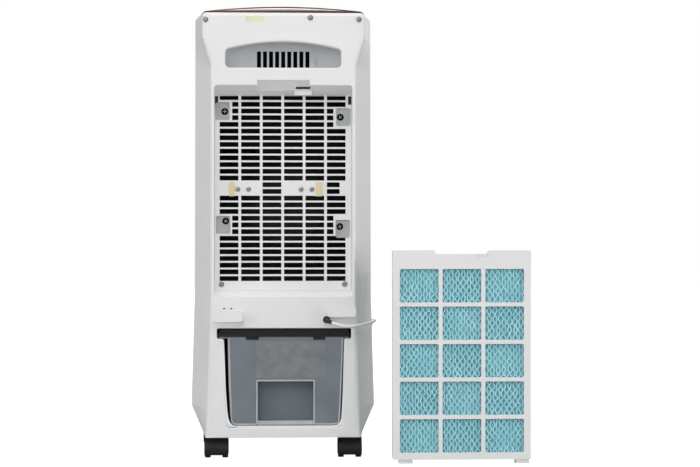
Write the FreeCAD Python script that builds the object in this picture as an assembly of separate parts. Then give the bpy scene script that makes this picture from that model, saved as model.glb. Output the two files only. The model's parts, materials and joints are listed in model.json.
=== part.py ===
"""Portable evaporative cooler on casters, with a drawer tank and a lift-off wet-pad cassette.

Frame: millimetres, +Z up, origin on the floor below the middle of the housing. The rear, where
the cassette and the tank go in, faces -Y. The air outlet faces +Y. Each piece of the cooler is
one STEP file in parts/.
"""
import FreeCAD
import Part
import math
import os

V = FreeCAD.Vector
X_AXIS = V(1, 0, 0)
Y_AXIS = V(0, 1, 0)
Z_AXIS = V(0, 0, 1)

# ---- Driving dimensions ----

shell_bottom = 35.0
shell_top = 691.0
crown_top = 700.5
rear_y = -150.0
front_y = 150.0
side_y = -70.0            # where the slanted rear flank meets the straight side
seam_y = 20.0
wall = 2.5
corner_radius = 30.0
rear_corner_reach = 5.0   # from the rear corner's edge to where its rounding starts
half_top_width = 138.5
half_base_width = 144.6
# height, half width, half width of the flat rear face, inset of the two ends
housing_levels = [
    (shell_bottom, 125.5, 120.0, 0.0),
    (80.0, half_base_width, 116.5, 0.0),
    (252.0, 139.4, 111.0, 0.0),
    (610.0, half_top_width, 111.0, 0.0),
    (652.0, half_top_width, 124.5, 0.0),
    (shell_top - 5.0, half_top_width, 124.5, 0.0),
    (shell_top, half_top_width - 3.0, 122.0, 2.5),
]

panel_proud = 1.0         # raised middle panel of the rear face
panel_root = 2.0          # how deep the panel goes into the wall
panel_y = rear_y - panel_proud
panel_half_width = 110.0
panel_shoulder_z = 618.0
panel_crown_z = 653.0

recess_half_width = 106.7
recess_low_z = 253.2
recess_high_z = 578.6
ledge_y = panel_y + 24.0
grille_y = panel_y + 30.0
grille_thickness = 5.0
grille_low_z = 260.8
grille_high_z = 566.5
recess_floor_y = grille_y + grille_thickness
pan_back_y = recess_floor_y + wall
intake_half_width = 100.5

slot_rows = 28
slot_row_pitch = 10.44
slot_height = 7.6
slot_first_top_z = 565.5
slot_width = 29.2
slot_column_pitch = 33.4
slot_column_left = -98.9
slot_columns = 6
band_rows = (13, 14)      # rows closed by the solid band across the middle
band_z = 419.0
band_screw_xs = (-70.5, -53.8, 28.0, 44.7)
lower_screw_xs = (-96.0, 96.0)
lower_screw_z = 271.0
# centre x, centre z, screw x, screw z of each corner pocket of the grille
pockets = [(-94.6, 540.6, -91.0, 540.1), (94.0, 531.5, 89.1, 531.5),
           (-93.5, 363.5, -89.5, 369.4), (93.0, 357.2, 88.4, 360.9)]
pocket_width = 24.5
pocket_height = 30.0
pocket_depth = 3.5
pocket_screw_radius = 5.0
# x, y of the head's underside, z, shank length
case_screw_places = [(-120.0, rear_y, 680.1, 6.0), (41.9, rear_y, 683.3, 6.0),
                     (117.0, rear_y, 681.0, 6.0)]
case_screw_places += [(x, grille_y, band_z, 9.0) for x in band_screw_xs]
case_screw_places += [(x, grille_y, lower_screw_z, grille_thickness + 2.0)
                      for x in lower_screw_xs]
pocket_screw_places = [(p[2], grille_y + pocket_depth, p[3], 6.0) for p in pockets]

handle_half_width = 89.5
handle_low_z = 606.0
handle_side_z = 634.0
handle_crown_z = 646.0
handle_floor_y = panel_y + 34.0
handle_slots = 9
handle_slot_width = 6.2
handle_slot_pitch = 9.45
handle_slot_low_z = 607.5
handle_slot_high_z = 634.0
vent_rim_half_width = 50.0
vent_rim_top_z = 625.0
vent_rim = 1.6

notch_half_width = 40.5   # finger notch over the cassette
notch_top_z = 586.4
notch_depth = 18.0
inlet_low_x = 19.6        # water slot in the top ledge and in the cassette
inlet_high_x = 42.2
inlet_mouth_y = panel_y + 4.0

bay_low_z = 50.5
bay_rail_z = 187.6
bay_high_z = 203.6
bay_left_x = -93.3
bay_right_x = 95.0
bay_low_left_x = -87.1
bay_low_right_x = 90.7
bay_wide_left_x = -102.4
bay_wide_right_x = 104.8
bay_back_y = 108.0

tank_y = rear_y + 4.0
tank_length = 246.0
tank_low_z = 54.0
tank_high_z = 190.5
tank_top_xs = (-85.0, 93.0)
tank_bottom_xs = (-81.5, 88.0)
tank_wall = 2.2
tank_corner = 12.0
pull_low_x = -40.0
pull_high_x = 47.0
pull_top_z = 121.8
pull_depth = 24.0
pump_x = 52.0
pump_y = 70.0

cassette_width = 210.4
cassette_height = 318.0
cassette_thickness = 22.0
cassette_foot = 6.4
cassette_x = 271.0
cassette_outer_y = -208.0
window_columns = 3
window_rows = 5
window_width = 59.1
window_height = 50.8
window_column_pitch = 65.0
window_row_pitch = 57.0
window_bottom_rim = 10.9

caster_rear_x = 104.0
caster_front_x = 112.0
caster_y = 100.0
caster_trail = 8.0
wheel_radius = 15.0
wheel_inner_x = 9.2
wheel_outer_x = 18.2
hood_radius = 18.0
hood_half_width = 18.7
axle_radius = 2.5
stem_radius = 4.0
running_gap = 0.05

fan_z = 400.0
fan_radius = 82.0
fan_rear_y = -48.0
fan_front_y = 20.0
fan_blades = 30
shaft_radius = 4.0
scroll_rear_y = -55.0
scroll_front_y = 30.0
duct_half_width = 106.0
duct_low_z = 488.0
duct_high_z = 648.0
duct_front_y = 97.0

outlet_half_width = 97.7
outlet_low_z = 492.3
outlet_high_z = 641.7
outlet_rear_y = 98.0
outlet_wall = 3.7
lip_y = front_y + 2.0
louvre_count = 4
louvre_chord = 24.0
louvre_y = 140.0
vane_count = 5
vane_pitch = 36.0
vane_chord = 22.0
vane_y = 112.0
pin_radius = 2.0
pin_length = 3.0
end_gap = 0.8             # between a blade's end and the frame

button_count = 5
button_pitch = 26.0
button_radius = 7.0
button_y = 62.0
button_proud = 1.2
panel_glass = 3.0         # thickness of the curved control panel
control_half_width = 85.0
control_low_y = 40.0
control_high_y = 120.0

screw_head_radius = 4.2
screw_head_height = 1.6
screw_shank_radius = 1.6

hook_width = 45.6
hook_height = 18.0
hook_stand_off = 11.0
hook_plate = 3.5
hook_stem_width = 12.6
hook_left_x = -108.0
hook_left_z = 214.0
hook_right_x = 66.3
hook_right_z = 221.5

grommet_x = 66.7
grommet_z = 216.8
grommet_radius = 5.4
grommet_body_radius = 4.3
grommet_face_y = panel_y - 2.5

cord_diameter = 5.2
coil_x = 20.0
coil_y = 232.0
coil_mean_radius = 29.2
coil_band = 21.8          # width of the wound turns, side by side
coil_height = 10.6        # two layers of turns
coil_outer_line = coil_mean_radius + (coil_band - cord_diameter) / 2
plug_tail_x = coil_x + 17.0
plug_y = coil_y + coil_outer_line

# ---- Small helpers ----


def box(x0, x1, y0, y1, z0, z1):
    return Part.makeBox(x1 - x0, y1 - y0, z1 - z0, V(x0, y0, z0))


def rod(start, axis, radius, length):
    return Part.makeCylinder(radius, length, start, axis)


def ring(start, axis, outer, inner, length):
    return rod(start, axis, outer, length).cut(rod(start, axis, inner, length))


def fused(shapes):
    joined = shapes[0].multiFuse(shapes[1:]) if len(shapes) > 1 else shapes[0]
    return joined.removeSplitter()


def closed_prism(edges, along):
    return Part.Face(Part.Wire(edges)).extrude(along)


def line(a, b):
    return Part.LineSegment(a, b).toShape()


def arc(a, middle, b):
    return Part.Arc(a, middle, b).toShape()


def upright_plate(x0, x1, y0, y1, z0, z1, radius):
    """A plate that faces along Y, with its four corners rounded."""
    plate = box(x0, x1, y0, y1, z0, z1)
    edges = [e for e in plate.Edges if abs(e.tangentAt(e.FirstParameter).y) > 0.99]
    return plate.makeFillet(radius, edges)


def screw(x, y, z, shank_length, head_radius=screw_head_radius):
    """A pan-head screw driven along +Y, with its head's underside at y."""
    head = rod(V(x, y, z), -Y_AXIS, head_radius, screw_head_height)
    shank = rod(V(x, y, z), Y_AXIS, screw_shank_radius, shank_length)
    return head.fuse(shank).removeSplitter()


def screw_holes():
    """The hole of every screw's shank."""
    return Part.makeCompound([rod(V(x, y, z), Y_AXIS, screw_shank_radius, length + 0.5)
                              for x, y, z, length in case_screw_places + pocket_screw_places])


def node(name, shape):
    shape.exportStep("parts/%s.step" % name)
    solids = len(shape.Solids)
    print("%-20s solids %2d  volume %9.0f  valid %s" % (name, solids, shape.Volume, shape.isValid()))


# ---- Housing ----


def arc_share(flank):
    """How far from corner to chord the arc's middle lies, for a corner between +X and flank."""
    half_inner = (math.pi - math.acos(flank.x)) / 2
    radius = math.tan(half_inner)                  # for tangent points one unit from the corner
    to_middle = radius / math.sin(half_inner) - radius
    to_chord = math.cos(half_inner)
    return to_middle / to_chord


def housing_section(z, half_width, half_rear, end_inset, inset):
    """The housing's outline at one height, moved inwards by inset."""
    w = half_width - inset
    r = half_rear - 0.7 * inset
    y0 = rear_y + end_inset + inset
    y1 = front_y - end_inset - inset
    c = corner_radius - inset
    k = c * (1 - math.sqrt(0.5))
    # tangent points and middle of the arc that rounds the corner of rear face and flank
    flank = V(w - r, side_y - y0, 0).normalize()
    reach = max(rear_corner_reach - inset / 2, 1.0)
    e = V(r - reach, y0, z)
    f = V(r, y0, z) + flank * reach
    chord = (e + f) * 0.5
    m = V(r, y0, z) + (chord - V(r, y0, z)) * arc_share(flank)
    return Part.Wire([
        line(V(-e.x, y0, z), e),
        arc(e, m, f),
        line(f, V(w, side_y, z)),
        line(V(w, side_y, z), V(w, y1 - c, z)),
        arc(V(w, y1 - c, z), V(w - k, y1 - k, z), V(w - c, y1, z)),
        line(V(w - c, y1, z), V(c - w, y1, z)),
        arc(V(c - w, y1, z), V(k - w, y1 - k, z), V(-w, y1 - c, z)),
        line(V(-w, y1 - c, z), V(-w, side_y, z)),
        line(V(-w, side_y, z), V(-f.x, f.y, z)),
        arc(V(-f.x, f.y, z), V(-m.x, m.y, z), V(-e.x, y0, z)),
    ])


def housing_solid(inset, open_bottom=False):
    levels = list(housing_levels)
    if inset > 0:
        top = levels[-2]
        levels = levels[:-2] + [(shell_top - wall, top[1], top[2], 0.0)]
    if open_bottom:
        low = levels[0]
        levels = [(low[0] - 1.0,) + low[1:]] + levels[1:]
    wires = [housing_section(z, w, r, e, inset) for z, w, r, e in levels]
    return Part.makeLoft(wires, True, True)


def rear_panel():
    """The raised middle panel, with an arched top and round shoulders."""
    w = panel_half_width
    shoulder = 36.0
    y = rear_y + panel_root
    a = V(-w, y, shell_bottom + 1)
    b = V(w, y, shell_bottom + 1)
    c = V(w, y, panel_shoulder_z)
    d = V(w - shoulder, y, panel_crown_z - 6.0)
    e = V(shoulder - w, y, panel_crown_z - 6.0)
    f = V(-w, y, panel_shoulder_z)
    bulge_z = panel_shoulder_z + 18.0
    edges = [line(a, b), line(b, c), arc(c, V(w - 8.5, y, bulge_z), d),
             arc(d, V(0, y, panel_crown_z), e),
             arc(e, V(8.5 - w, y, bulge_z), f), line(f, a)]
    return closed_prism(edges, V(0, -(panel_proud + panel_root), 0))


def handle_prism(margin, y0, y1):
    """The handle recess, an arched slot, grown by margin."""
    w = handle_half_width + margin
    low = handle_low_z - margin
    side = handle_side_z + margin
    crown = handle_crown_z + margin
    edges = [line(V(-w, y0, low), V(w, y0, low)), line(V(w, y0, low), V(w, y0, side)),
             arc(V(w, y0, side), V(0, y0, crown), V(-w, y0, side)),
             line(V(-w, y0, side), V(-w, y0, low))]
    prism = closed_prism(edges, V(0, y1 - y0, 0))
    corners = [e for e in prism.Edges if abs(e.tangentAt(e.FirstParameter).y) > 0.99]
    return prism.makeFillet(7.0 + margin, corners)


def bay_prism(margin, y0, y1):
    """The T-shaped way in for the tank, tapered towards its floor, grown by margin."""
    top_z = bay_high_z - 6.0
    points = [V(bay_low_left_x - margin, y0, bay_low_z - margin),
              V(bay_low_right_x + margin, y0, bay_low_z - margin),
              V(bay_right_x + margin, y0, bay_rail_z), V(bay_right_x + margin, y0, top_z),
              V(bay_left_x - margin, y0, top_z), V(bay_left_x - margin, y0, bay_rail_z)]
    edges = [line(points[i], points[(i + 1) % 6]) for i in range(6)]
    lower = closed_prism(edges, V(0, y1 - y0, 0))
    floor_edges = [e for e in lower.Edges
                   if e.BoundBox.YLength > 1 and e.BoundBox.ZMax < bay_low_z + 1]
    lower = lower.makeFillet(6.0 + margin, floor_edges)
    upper = upright_plate(bay_wide_left_x - margin, bay_wide_right_x + margin, y0, y1,
                          bay_rail_z - margin, bay_high_z + margin, 3.0 + margin)
    return lower.fuse(upper).removeSplitter()


def roof_wedge(half_width, front_z, back_y, back_z, top_z):
    """What lies above a roof that slants down from the panel's face to a line further in."""
    x = -half_width
    points = [V(x, panel_y - 1, front_z), V(x, panel_y + 2.5, front_z), V(x, back_y, back_z),
              V(x, back_y + 10, back_z), V(x, back_y + 10, top_z), V(x, panel_y - 1, top_z)]
    edges = [line(points[i], points[(i + 1) % 6]) for i in range(6)]
    return closed_prism(edges, V(2 * half_width, 0, 0))


def recess_roof():
    return roof_wedge(recess_half_width + 1, recess_high_z, grille_y, grille_high_z,
                      recess_high_z + 20)


def recess_pan():
    w = recess_half_width
    return upright_plate(-w - wall, w + wall, panel_y + 0.5, pan_back_y,
                         recess_low_z - wall, recess_high_z + wall, 5.0 + wall)


def pocket_bosses():
    """Screw bosses behind the grille, each on a rib from the side of the intake."""
    bosses = []
    for pocket in pockets:
        x, z = pocket[2], pocket[3]
        side = math.copysign(intake_half_width + 1.0, x)
        bosses.append(rod(V(x, recess_floor_y, z), Y_AXIS, 5.5, 9.0))
        bosses.append(box(min(x, side), max(x, side), recess_floor_y + 0.5,
                          recess_floor_y + 8.0, z - 2.5, z + 2.5))
    return bosses


def band_rib():
    """The thin rib behind the grille's middle band, with a boss for each of its screws."""
    rib = box(-intake_half_width - 1, intake_half_width + 1, recess_floor_y,
              recess_floor_y + 8.0, band_z + 0.4, band_z + 3.4)
    bosses = [rod(V(x, recess_floor_y, band_z), Y_AXIS, 4.2, 10.0) for x in band_screw_xs]
    return fused([rib] + bosses)


def mouth_edges(shape, low_z, high_z):
    """The edges of one opening in the raised panel's face, between two heights."""
    found = []
    for edge in shape.Edges:
        b = edge.BoundBox
        in_face = abs(b.YMin - panel_y) < 0.01 and abs(b.YMax - panel_y) < 0.01
        inside = max(-b.XMin, b.XMax) < panel_half_width - 1.0 and low_z < b.ZMin and b.ZMax < high_z
        if in_face and inside:
            found.append(edge)
    return found


def rear_shell():
    hollow = housing_solid(wall, True)
    shell = housing_solid(0.0).cut(hollow)
    shell = shell.common(box(-200, 200, rear_y - 10, seam_y, 0, 800))
    notch = box(-notch_half_width, notch_half_width, panel_y - 1, panel_y + notch_depth,
                recess_high_z - 6, notch_top_z)
    notch = notch.cut(roof_wedge(notch_half_width + 1, notch_top_z, panel_y + notch_depth,
                                 recess_high_z - 5.0, notch_top_z + 5))
    notch_wall = box(-notch_half_width - wall, notch_half_width + wall, panel_y + 0.5,
                     panel_y + notch_depth + wall, recess_high_z, notch_top_z + wall)
    handle_wall = handle_prism(wall, panel_y + 0.5, handle_floor_y + wall)
    shell = fused([shell, rear_panel(), recess_pan(), notch_wall, handle_wall])
    w = recess_half_width
    recess = upright_plate(-w, w, panel_y - 1, recess_floor_y, recess_low_z, recess_high_z, 5.0)
    low_ledge = box(-w, w, ledge_y, recess_floor_y, recess_low_z, grille_low_z)
    recess = recess.cut(recess_roof()).cut(low_ledge)
    intake = box(-intake_half_width, intake_half_width, recess_floor_y - 1, pan_back_y + 1,
                 grille_low_z + 6, grille_high_z - 2)
    inlet = box(inlet_low_x, inlet_high_x, inlet_mouth_y, pan_back_y + 1,
                recess_high_z - 4.3, recess_high_z - 0.8)
    handle = handle_prism(0.0, panel_y - 1, handle_floor_y)
    bay = bay_prism(0.0, panel_y - 1, rear_y + wall + 1)
    cord_hole = rod(V(grommet_x, panel_y - 1, grommet_z), Y_AXIS, grommet_body_radius, 6.0)
    cuts = [recess, intake, inlet, notch, handle, bay, cord_hole]
    for i in range(handle_slots):
        x = (i - (handle_slots - 1) / 2) * handle_slot_pitch
        cuts.append(box(x - handle_slot_width / 2, x + handle_slot_width / 2,
                        handle_floor_y - 1, handle_floor_y + wall + 1,
                        handle_slot_low_z, handle_slot_high_z))
    for x in (-48.7, 77.9):
        cuts.append(rod(V(x, panel_y - 1, 41.0), Y_AXIS, 2.4, 1.8))
    shell = fused([shell.cut(Part.makeCompound(cuts))]).Solids[0]
    shell = shell.makeFillet(1.5, mouth_edges(shell, bay_low_z - 1, bay_high_z + 1))
    shell = shell.makeFillet(1.2, mouth_edges(shell, recess_low_z - 1, notch_top_z + 1))
    shell = shell.makeFillet(2.5, mouth_edges(shell, handle_low_z - 1, handle_crown_z + 1))
    return fused([shell, vent_rims(), band_rib()] + pocket_bosses()).cut(screw_holes())


def vent_rims():
    """The raised rim at each side of the handle's vent slots."""
    y0 = handle_floor_y - vent_rim
    y1 = handle_floor_y + 1.0
    slots_half = (handle_slots - 1) / 2 * handle_slot_pitch + handle_slot_width / 2
    rims = []
    for side in (-1, 1):
        outer = side * vent_rim_half_width
        inner = side * (slots_half + 1.0)
        post = side * (vent_rim_half_width - vent_rim)
        rims.append(box(min(outer, inner), max(outer, inner), y0, y1,
                        vent_rim_top_z - vent_rim, vent_rim_top_z))
        rims.append(box(min(outer, post), max(outer, post), y0, y1,
                        handle_low_z - 0.5, vent_rim_top_z))
    return Part.makeCompound(rims)


def front_shell():
    hollow = housing_solid(wall, True)
    shell = housing_solid(0.0).cut(hollow)
    shell = shell.common(box(-200, 200, seam_y, front_y + 10, 0, 800))
    w = outlet_half_width + 0.3
    mouth = box(-w, w, front_y - 10, front_y + 10, outlet_low_z - 0.3, outlet_high_z + 0.3)
    return shell.cut(mouth)


def caster_places():
    return [("rear_left", -caster_rear_x, -caster_y), ("rear_right", caster_rear_x, -caster_y),
            ("front_left", -caster_front_x, caster_y), ("front_right", caster_front_x, caster_y)]


def base_pan():
    """The floor of the housing, with a thick rim that holds the casters' stems."""
    pan_top = shell_bottom + 13.0
    half_width = 118.0
    half_depth = front_y - wall - 0.3
    block = box(-half_width, half_width, -half_depth, half_depth, shell_bottom, pan_top)
    upright = [e for e in block.Edges if e.BoundBox.ZLength > 1]
    front = [e for e in upright if e.BoundBox.YMin > 0]
    block = block.makeFillet(25.0, front)
    rear = [e for e in block.Edges if e.BoundBox.ZLength > 1 and e.BoundBox.YMax < 0]
    block = block.makeChamfer(5.0, rear)
    hollow = box(-94, 94, -138, 138, shell_bottom + 3.5, pan_top + 1)
    bores = [rod(V(place[1], place[2], shell_bottom - 1), Z_AXIS, stem_radius + running_gap, 15.0)
             for place in caster_places()]
    return block.cut(hollow).cut(Part.makeCompound(bores))


def bay_liner():
    """The five walls round the tank, with a step on each side as a rail."""
    outer = bay_prism(2.0, rear_y + wall, bay_back_y + 2.0)
    inner = bay_prism(0.0, rear_y, bay_back_y)
    hose_way = rod(V(pump_x, pump_y, bay_high_z - 1), Z_AXIS, 5.4, 6.0)
    return outer.cut(inner).cut(hose_way)


# ---- Top ----


def top_outline(inset):
    """The top's plan outline as a tall prism, inset from the housing's rim."""
    level = housing_levels[-2]
    wire = housing_section(shell_top - 1, level[1], level[2], 0.0, inset)
    return Part.Face(wire).extrude(V(0, 0, 30))


def dome(drop, half_chord=128.0):
    """The crowned top: a shallow cylinder across X, lowered by drop."""
    base = shell_top + 1.5
    rise = crown_top - base
    radius = (half_chord ** 2 + rise ** 2) / (2 * rise)
    top = rod(V(0, -200, crown_top - radius - drop), Y_AXIS, radius, 400)
    return top.common(box(-half_chord, half_chord, -200, 200, base, crown_top + 1))


def top_trim():
    plinth = box(-126, 126, -200, 200, shell_top, shell_top + 1.5)
    arch = dome(0.0).common(top_outline(4.0)).fuse(plinth.common(top_outline(6.0)))
    return arch.cut(top_outline(20.0)).removeSplitter()


def control_area(margin):
    w = control_half_width + margin
    return box(-w, w, control_low_y - margin, control_high_y + margin, 600, 800)


def button_xs():
    return [(i - (button_count - 1) / 2) * button_pitch for i in range(button_count)]


def top_height(x):
    rise = crown_top - shell_top - 1.5
    radius = (128.0 ** 2 + rise ** 2) / (2 * rise)
    return crown_top - radius + math.sqrt(radius ** 2 - x ** 2)


def top_cover():
    base = box(-126, 126, -200, 200, shell_top, shell_top + 1.6)
    cover = dome(0.6).fuse(base).common(top_outline(20.2))
    seat = dome(0.0).cut(dome(panel_glass)).common(control_area(0.2))
    wells = []
    for x in button_xs():
        wells.append(rod(V(x, button_y, top_height(x) - 5.0), Z_AXIS, button_radius + 0.4, 10.0))
    return cover.cut(seat).cut(Part.makeCompound(wells))


def control_panel():
    panel = dome(0.0).cut(dome(panel_glass)).common(control_area(0.0))
    holes = [rod(V(x, button_y, 690), Z_AXIS, button_radius + 0.4, 20.0) for x in button_xs()]
    return panel.cut(Part.makeCompound(holes))


def button(x):
    low = top_height(x) - 3.2
    cap = rod(V(x, button_y, low), Z_AXIS, button_radius, 3.2 + button_proud)
    rim = [e for e in cap.Edges if e.BoundBox.ZMin > low + 1]
    return cap.makeFillet(0.6, rim[:1])


# ---- Rear grille and what is on it ----


def slot_span(row, column):
    """The x limits of one grille slot, or None where the plate is closed."""
    x0 = slot_column_left + column * slot_column_pitch
    x1 = x0 + slot_width
    if row in band_rows:
        if column in (0, 1, 3, 4):
            return None
        if column == 5:
            x1 = 88.0
    if column == 0 and row in (1, 2, 3, 18, 19, 20):
        x0 = -79.5
    if column == 5 and row in (2, 3, 4, 18, 19, 20):
        x1 = 78.3
    return x0, x1


def rear_grille():
    w = recess_half_width - 0.3
    back_y = grille_y + grille_thickness
    plate = box(-w, w, grille_y, back_y, grille_low_z + 0.2, grille_high_z - 0.2)
    cuts = []
    for row in range(slot_rows):
        top = slot_first_top_z - row * slot_row_pitch
        for column in range(slot_columns):
            span = slot_span(row, column)
            if span is not None:
                cuts.append(box(span[0], span[1], grille_y - 1, back_y + 1,
                                top - slot_height, top))
    for side in (-1, 1):
        x = side * 103.7
        cuts.append(box(x - 2.5, x + 2.5, grille_y - 1, back_y + 1, 551.0, 564.0))
    for pocket in pockets:
        x, z = pocket[0], pocket[1]
        cuts.append(upright_plate(x - pocket_width / 2 + 1, x + pocket_width / 2 - 1,
                                  grille_y - 1, grille_y + pocket_depth,
                                  z - pocket_height / 2 + 1, z + pocket_height / 2 - 1, 3.0))
    return plate.cut(Part.makeCompound(cuts)).cut(screw_holes())


def case_screws():
    """The pan-head screws of the top edge, the grille's foot and its middle band."""
    return Part.makeCompound([screw(x, y, z, length) for x, y, z, length in case_screw_places])


def pocket_screws():
    return Part.makeCompound([screw(x, y, z, length, pocket_screw_radius)
                              for x, y, z, length in pocket_screw_places])


def foam_strips():
    strips = []
    for x0, x1 in ((-83.9, -75.6), (51.1, 60.4)):
        strips.append(box(x0, x1, grille_y - 2.0, grille_y, 407.9, 430.0))
    return Part.makeCompound(strips)


def water_spout():
    """The white lip that hands the water to the cassette."""
    front = grille_y - 13.0
    lip = box(17.5, 44.3, front, grille_y, grille_high_z - 2.0, recess_high_z - 4.6)
    edges = [e for e in lip.Edges if e.BoundBox.ZMax < grille_high_z - 1.5 and e.BoundBox.YMax < front + 1]
    return lip.makeFillet(1.5, edges).cut(recess_roof())


def seal_sticker():
    return box(-57.6, -29.8, rear_y - 0.2, rear_y, 676.7, 685.5)


def rating_label():
    skin = housing_solid(-0.3).cut(housing_solid(0.0))
    return skin.common(box(116.0, 135.0, rear_y - 5, side_y, 212.0, 290.0))


def cord_hooks():
    """Two flat hooks for winding up the cord, each a plate on a short stem."""
    hooks = []
    for x, z, stem_x in ((hook_left_x, hook_left_z, hook_left_x + hook_width - hook_stem_width),
                         (hook_right_x, hook_right_z, hook_right_x)):
        front = panel_y - hook_stand_off - hook_plate
        plate = upright_plate(x, x + hook_width, front, front + hook_plate, z, z + hook_height, 5.0)
        stem = upright_plate(stem_x + 1, stem_x + hook_stem_width - 1, front + 1, panel_y,
                             z + 1.5, z + hook_height - 1.5, 2.5)
        hooks.append(plate.fuse(stem).removeSplitter())
    return Part.makeCompound(hooks)


# ---- Tank drawer ----


def tank_wedge(inset, floor_z, top_z):
    """The tank's tapered body, moved inwards by inset."""
    wires = []
    for z in (tank_low_z, tank_high_z):
        share = (z - tank_low_z) / (tank_high_z - tank_low_z)
        x0 = tank_bottom_xs[0] + share * (tank_top_xs[0] - tank_bottom_xs[0]) + inset
        x1 = tank_bottom_xs[1] + share * (tank_top_xs[1] - tank_bottom_xs[1]) - inset
        y0 = tank_y + inset
        y1 = tank_y + tank_length - inset
        at = top_z if z > tank_low_z else floor_z
        wires.append(Part.makePolygon([V(x0, y0, at), V(x1, y0, at), V(x1, y1, at),
                                       V(x0, y1, at), V(x0, y0, at)]))
    body = Part.makeLoft(wires, True, True)
    low = [e for e in body.Edges if e.BoundBox.ZMax < floor_z + 1 and e.BoundBox.YLength > 100]
    return body.makeFillet(tank_corner - inset, low)


def pull_pocket(margin):
    return box(pull_low_x - margin, pull_high_x + margin, tank_y - 5, tank_y + pull_depth + margin,
               tank_low_z - 5, pull_top_z + margin)


def tank():
    cavity = tank_wedge(tank_wall, tank_low_z + tank_wall, tank_high_z + 1)
    cavity = cavity.cut(pull_pocket(tank_wall))
    body = tank_wedge(0.0, tank_low_z, tank_high_z).cut(pull_pocket(0.0)).cut(cavity)
    flanges = [box(bay_wide_left_x + 3, tank_top_xs[0] + 1.5, tank_y, tank_y + tank_length,
                   tank_high_z - 2.5, tank_high_z),
               box(tank_top_xs[1] - 1.5, bay_wide_right_x - 3, tank_y, tank_y + tank_length,
                   tank_high_z - 2.5, tank_high_z)]
    pip = rod(V(76.8, tank_y, 103.5), -Y_AXIS, 1.3, 0.6)
    rim = upright_plate(pull_low_x - 2.0, pull_high_x + 2.0, tank_y - 0.8, tank_y + 1.0,
                        tank_low_z - 8.0, pull_top_z + 2.0, 4.0)
    opening = upright_plate(pull_low_x, pull_high_x, tank_y - 2.0, tank_y + 2.0,
                            tank_low_z - 12.0, pull_top_z, 2.5)
    rim = rim.cut(opening).common(box(-200, 200, -200, 0, tank_low_z, 200))
    return fused([body, rim, pip] + flanges)


def tank_lid():
    gap = 1.5                 # to the sides of the bay
    lid = box(bay_wide_left_x + gap, bay_wide_right_x - gap, tank_y - 1.5, tank_y + tank_length,
              tank_high_z, tank_high_z + 5.5)
    upright = [e for e in lid.Edges if e.BoundBox.ZLength > 1 and e.BoundBox.YMax < 0]
    lid = lid.makeFillet(2.5, upright)
    ridge = box(bay_wide_left_x + gap + 2, bay_wide_right_x - gap - 2, tank_y + 1.5,
                tank_y + tank_length - 4, tank_high_z + 5.5, bay_high_z - 1.5)
    tabs = []
    for x0, x1 in ((-57.3, -38.2), (46.3, 64.6)):
        tabs.append(box(x0, x1, tank_y - 1.5, tank_y - 0.2, tank_high_z - 4.5, tank_high_z + 1))
    hollow = box(bay_wide_left_x + 7.5, bay_wide_right_x - 7.5, tank_y + 4.0,
                 tank_y + tank_length - 6.5, tank_high_z - 1, bay_high_z - 4.0)
    outlet = rod(V(pump_x, pump_y, tank_high_z - 1), Z_AXIS, 5.0, 14.0)
    return fused([lid, ridge] + tabs).cut(hollow).cut(outlet)


def water_pump():
    foot_z = tank_low_z + tank_wall
    body = rod(V(pump_x, pump_y, foot_z), Z_AXIS, 21.0, 46.0)
    neck = rod(V(pump_x, pump_y, foot_z + 45.0), Z_AXIS, 4.9, tank_high_z + 8.5 - foot_z - 45.0)
    shoulder = rod(V(pump_x, pump_y, foot_z + 46.0), Z_AXIS, 9.0, 6.0)
    return fused([body, neck, shoulder])


def tank_label():
    return box(-42.2, 66.0, tank_y - 0.3, tank_y, 127.0, 183.5)


# ---- Cassette ----


def cassette_base_z():
    return cassette_foot


def cassette_windows(y0, y1):
    cuts = []
    for column in range(window_columns):
        x = cassette_x + (column - (window_columns - 1) / 2) * window_column_pitch
        for row in range(window_rows):
            z = cassette_base_z() + window_bottom_rim + row * window_row_pitch
            cuts.append(upright_plate(x - window_width / 2, x + window_width / 2, y0, y1,
                                      z, z + window_height, 1.5))
    return Part.makeCompound(cuts)


def cassette_notch():
    """The cut in the cassette's top edge, with slanted ends."""
    top = cassette_base_z() + cassette_height
    y = cassette_outer_y - 1
    low = top - 5.5
    points = [V(cassette_x - 43.5, y, top + 1), V(cassette_x - 39.5, y, low),
              V(cassette_x + 39.5, y, low), V(cassette_x + 43.5, y, top + 1)]
    edges = [line(points[i], points[(i + 1) % 4]) for i in range(4)]
    return closed_prism(edges, V(0, cassette_thickness + 2, 0))


def cassette_frame():
    x0 = cassette_x - cassette_width / 2
    x1 = cassette_x + cassette_width / 2
    z0 = cassette_base_z()
    y0 = cassette_outer_y
    y1 = y0 + cassette_thickness - 3.0
    body = upright_plate(x0, x1, y0, y1, z0, z0 + cassette_height, 2.0)
    hollow = box(x0 + 2.5, x1 - 2.5, y0 + 3.0, y1 + 1, z0 + 2.5, z0 + cassette_height - 14.0)
    inlet = box(cassette_x + inlet_low_x + 2, cassette_x + inlet_high_x - 2, y0 - 1, y1 - 4.0,
                z0 + cassette_height - 11.0, z0 + cassette_height - 5.5)
    feet = []
    for x in (x0 + 9.5, x1 - 31.0 + 8.0):
        feet.append(box(x, x + 20.8, y0 + 2.0, y1, 0.0, z0 + 0.5))
    body = body.cut(hollow).cut(cassette_windows(y0 - 1, y0 + 4.0)).cut(cassette_notch()).cut(inlet)
    return fused([body] + feet)


def cassette_back():
    x0 = cassette_x - cassette_width / 2
    x1 = cassette_x + cassette_width / 2
    z0 = cassette_base_z()
    y1 = cassette_outer_y + cassette_thickness
    body = upright_plate(x0, x1, y1 - 3.0, y1, z0, z0 + cassette_height, 2.0)
    return body.cut(cassette_windows(y1 - 4.0, y1 + 1)).cut(cassette_notch())


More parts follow.
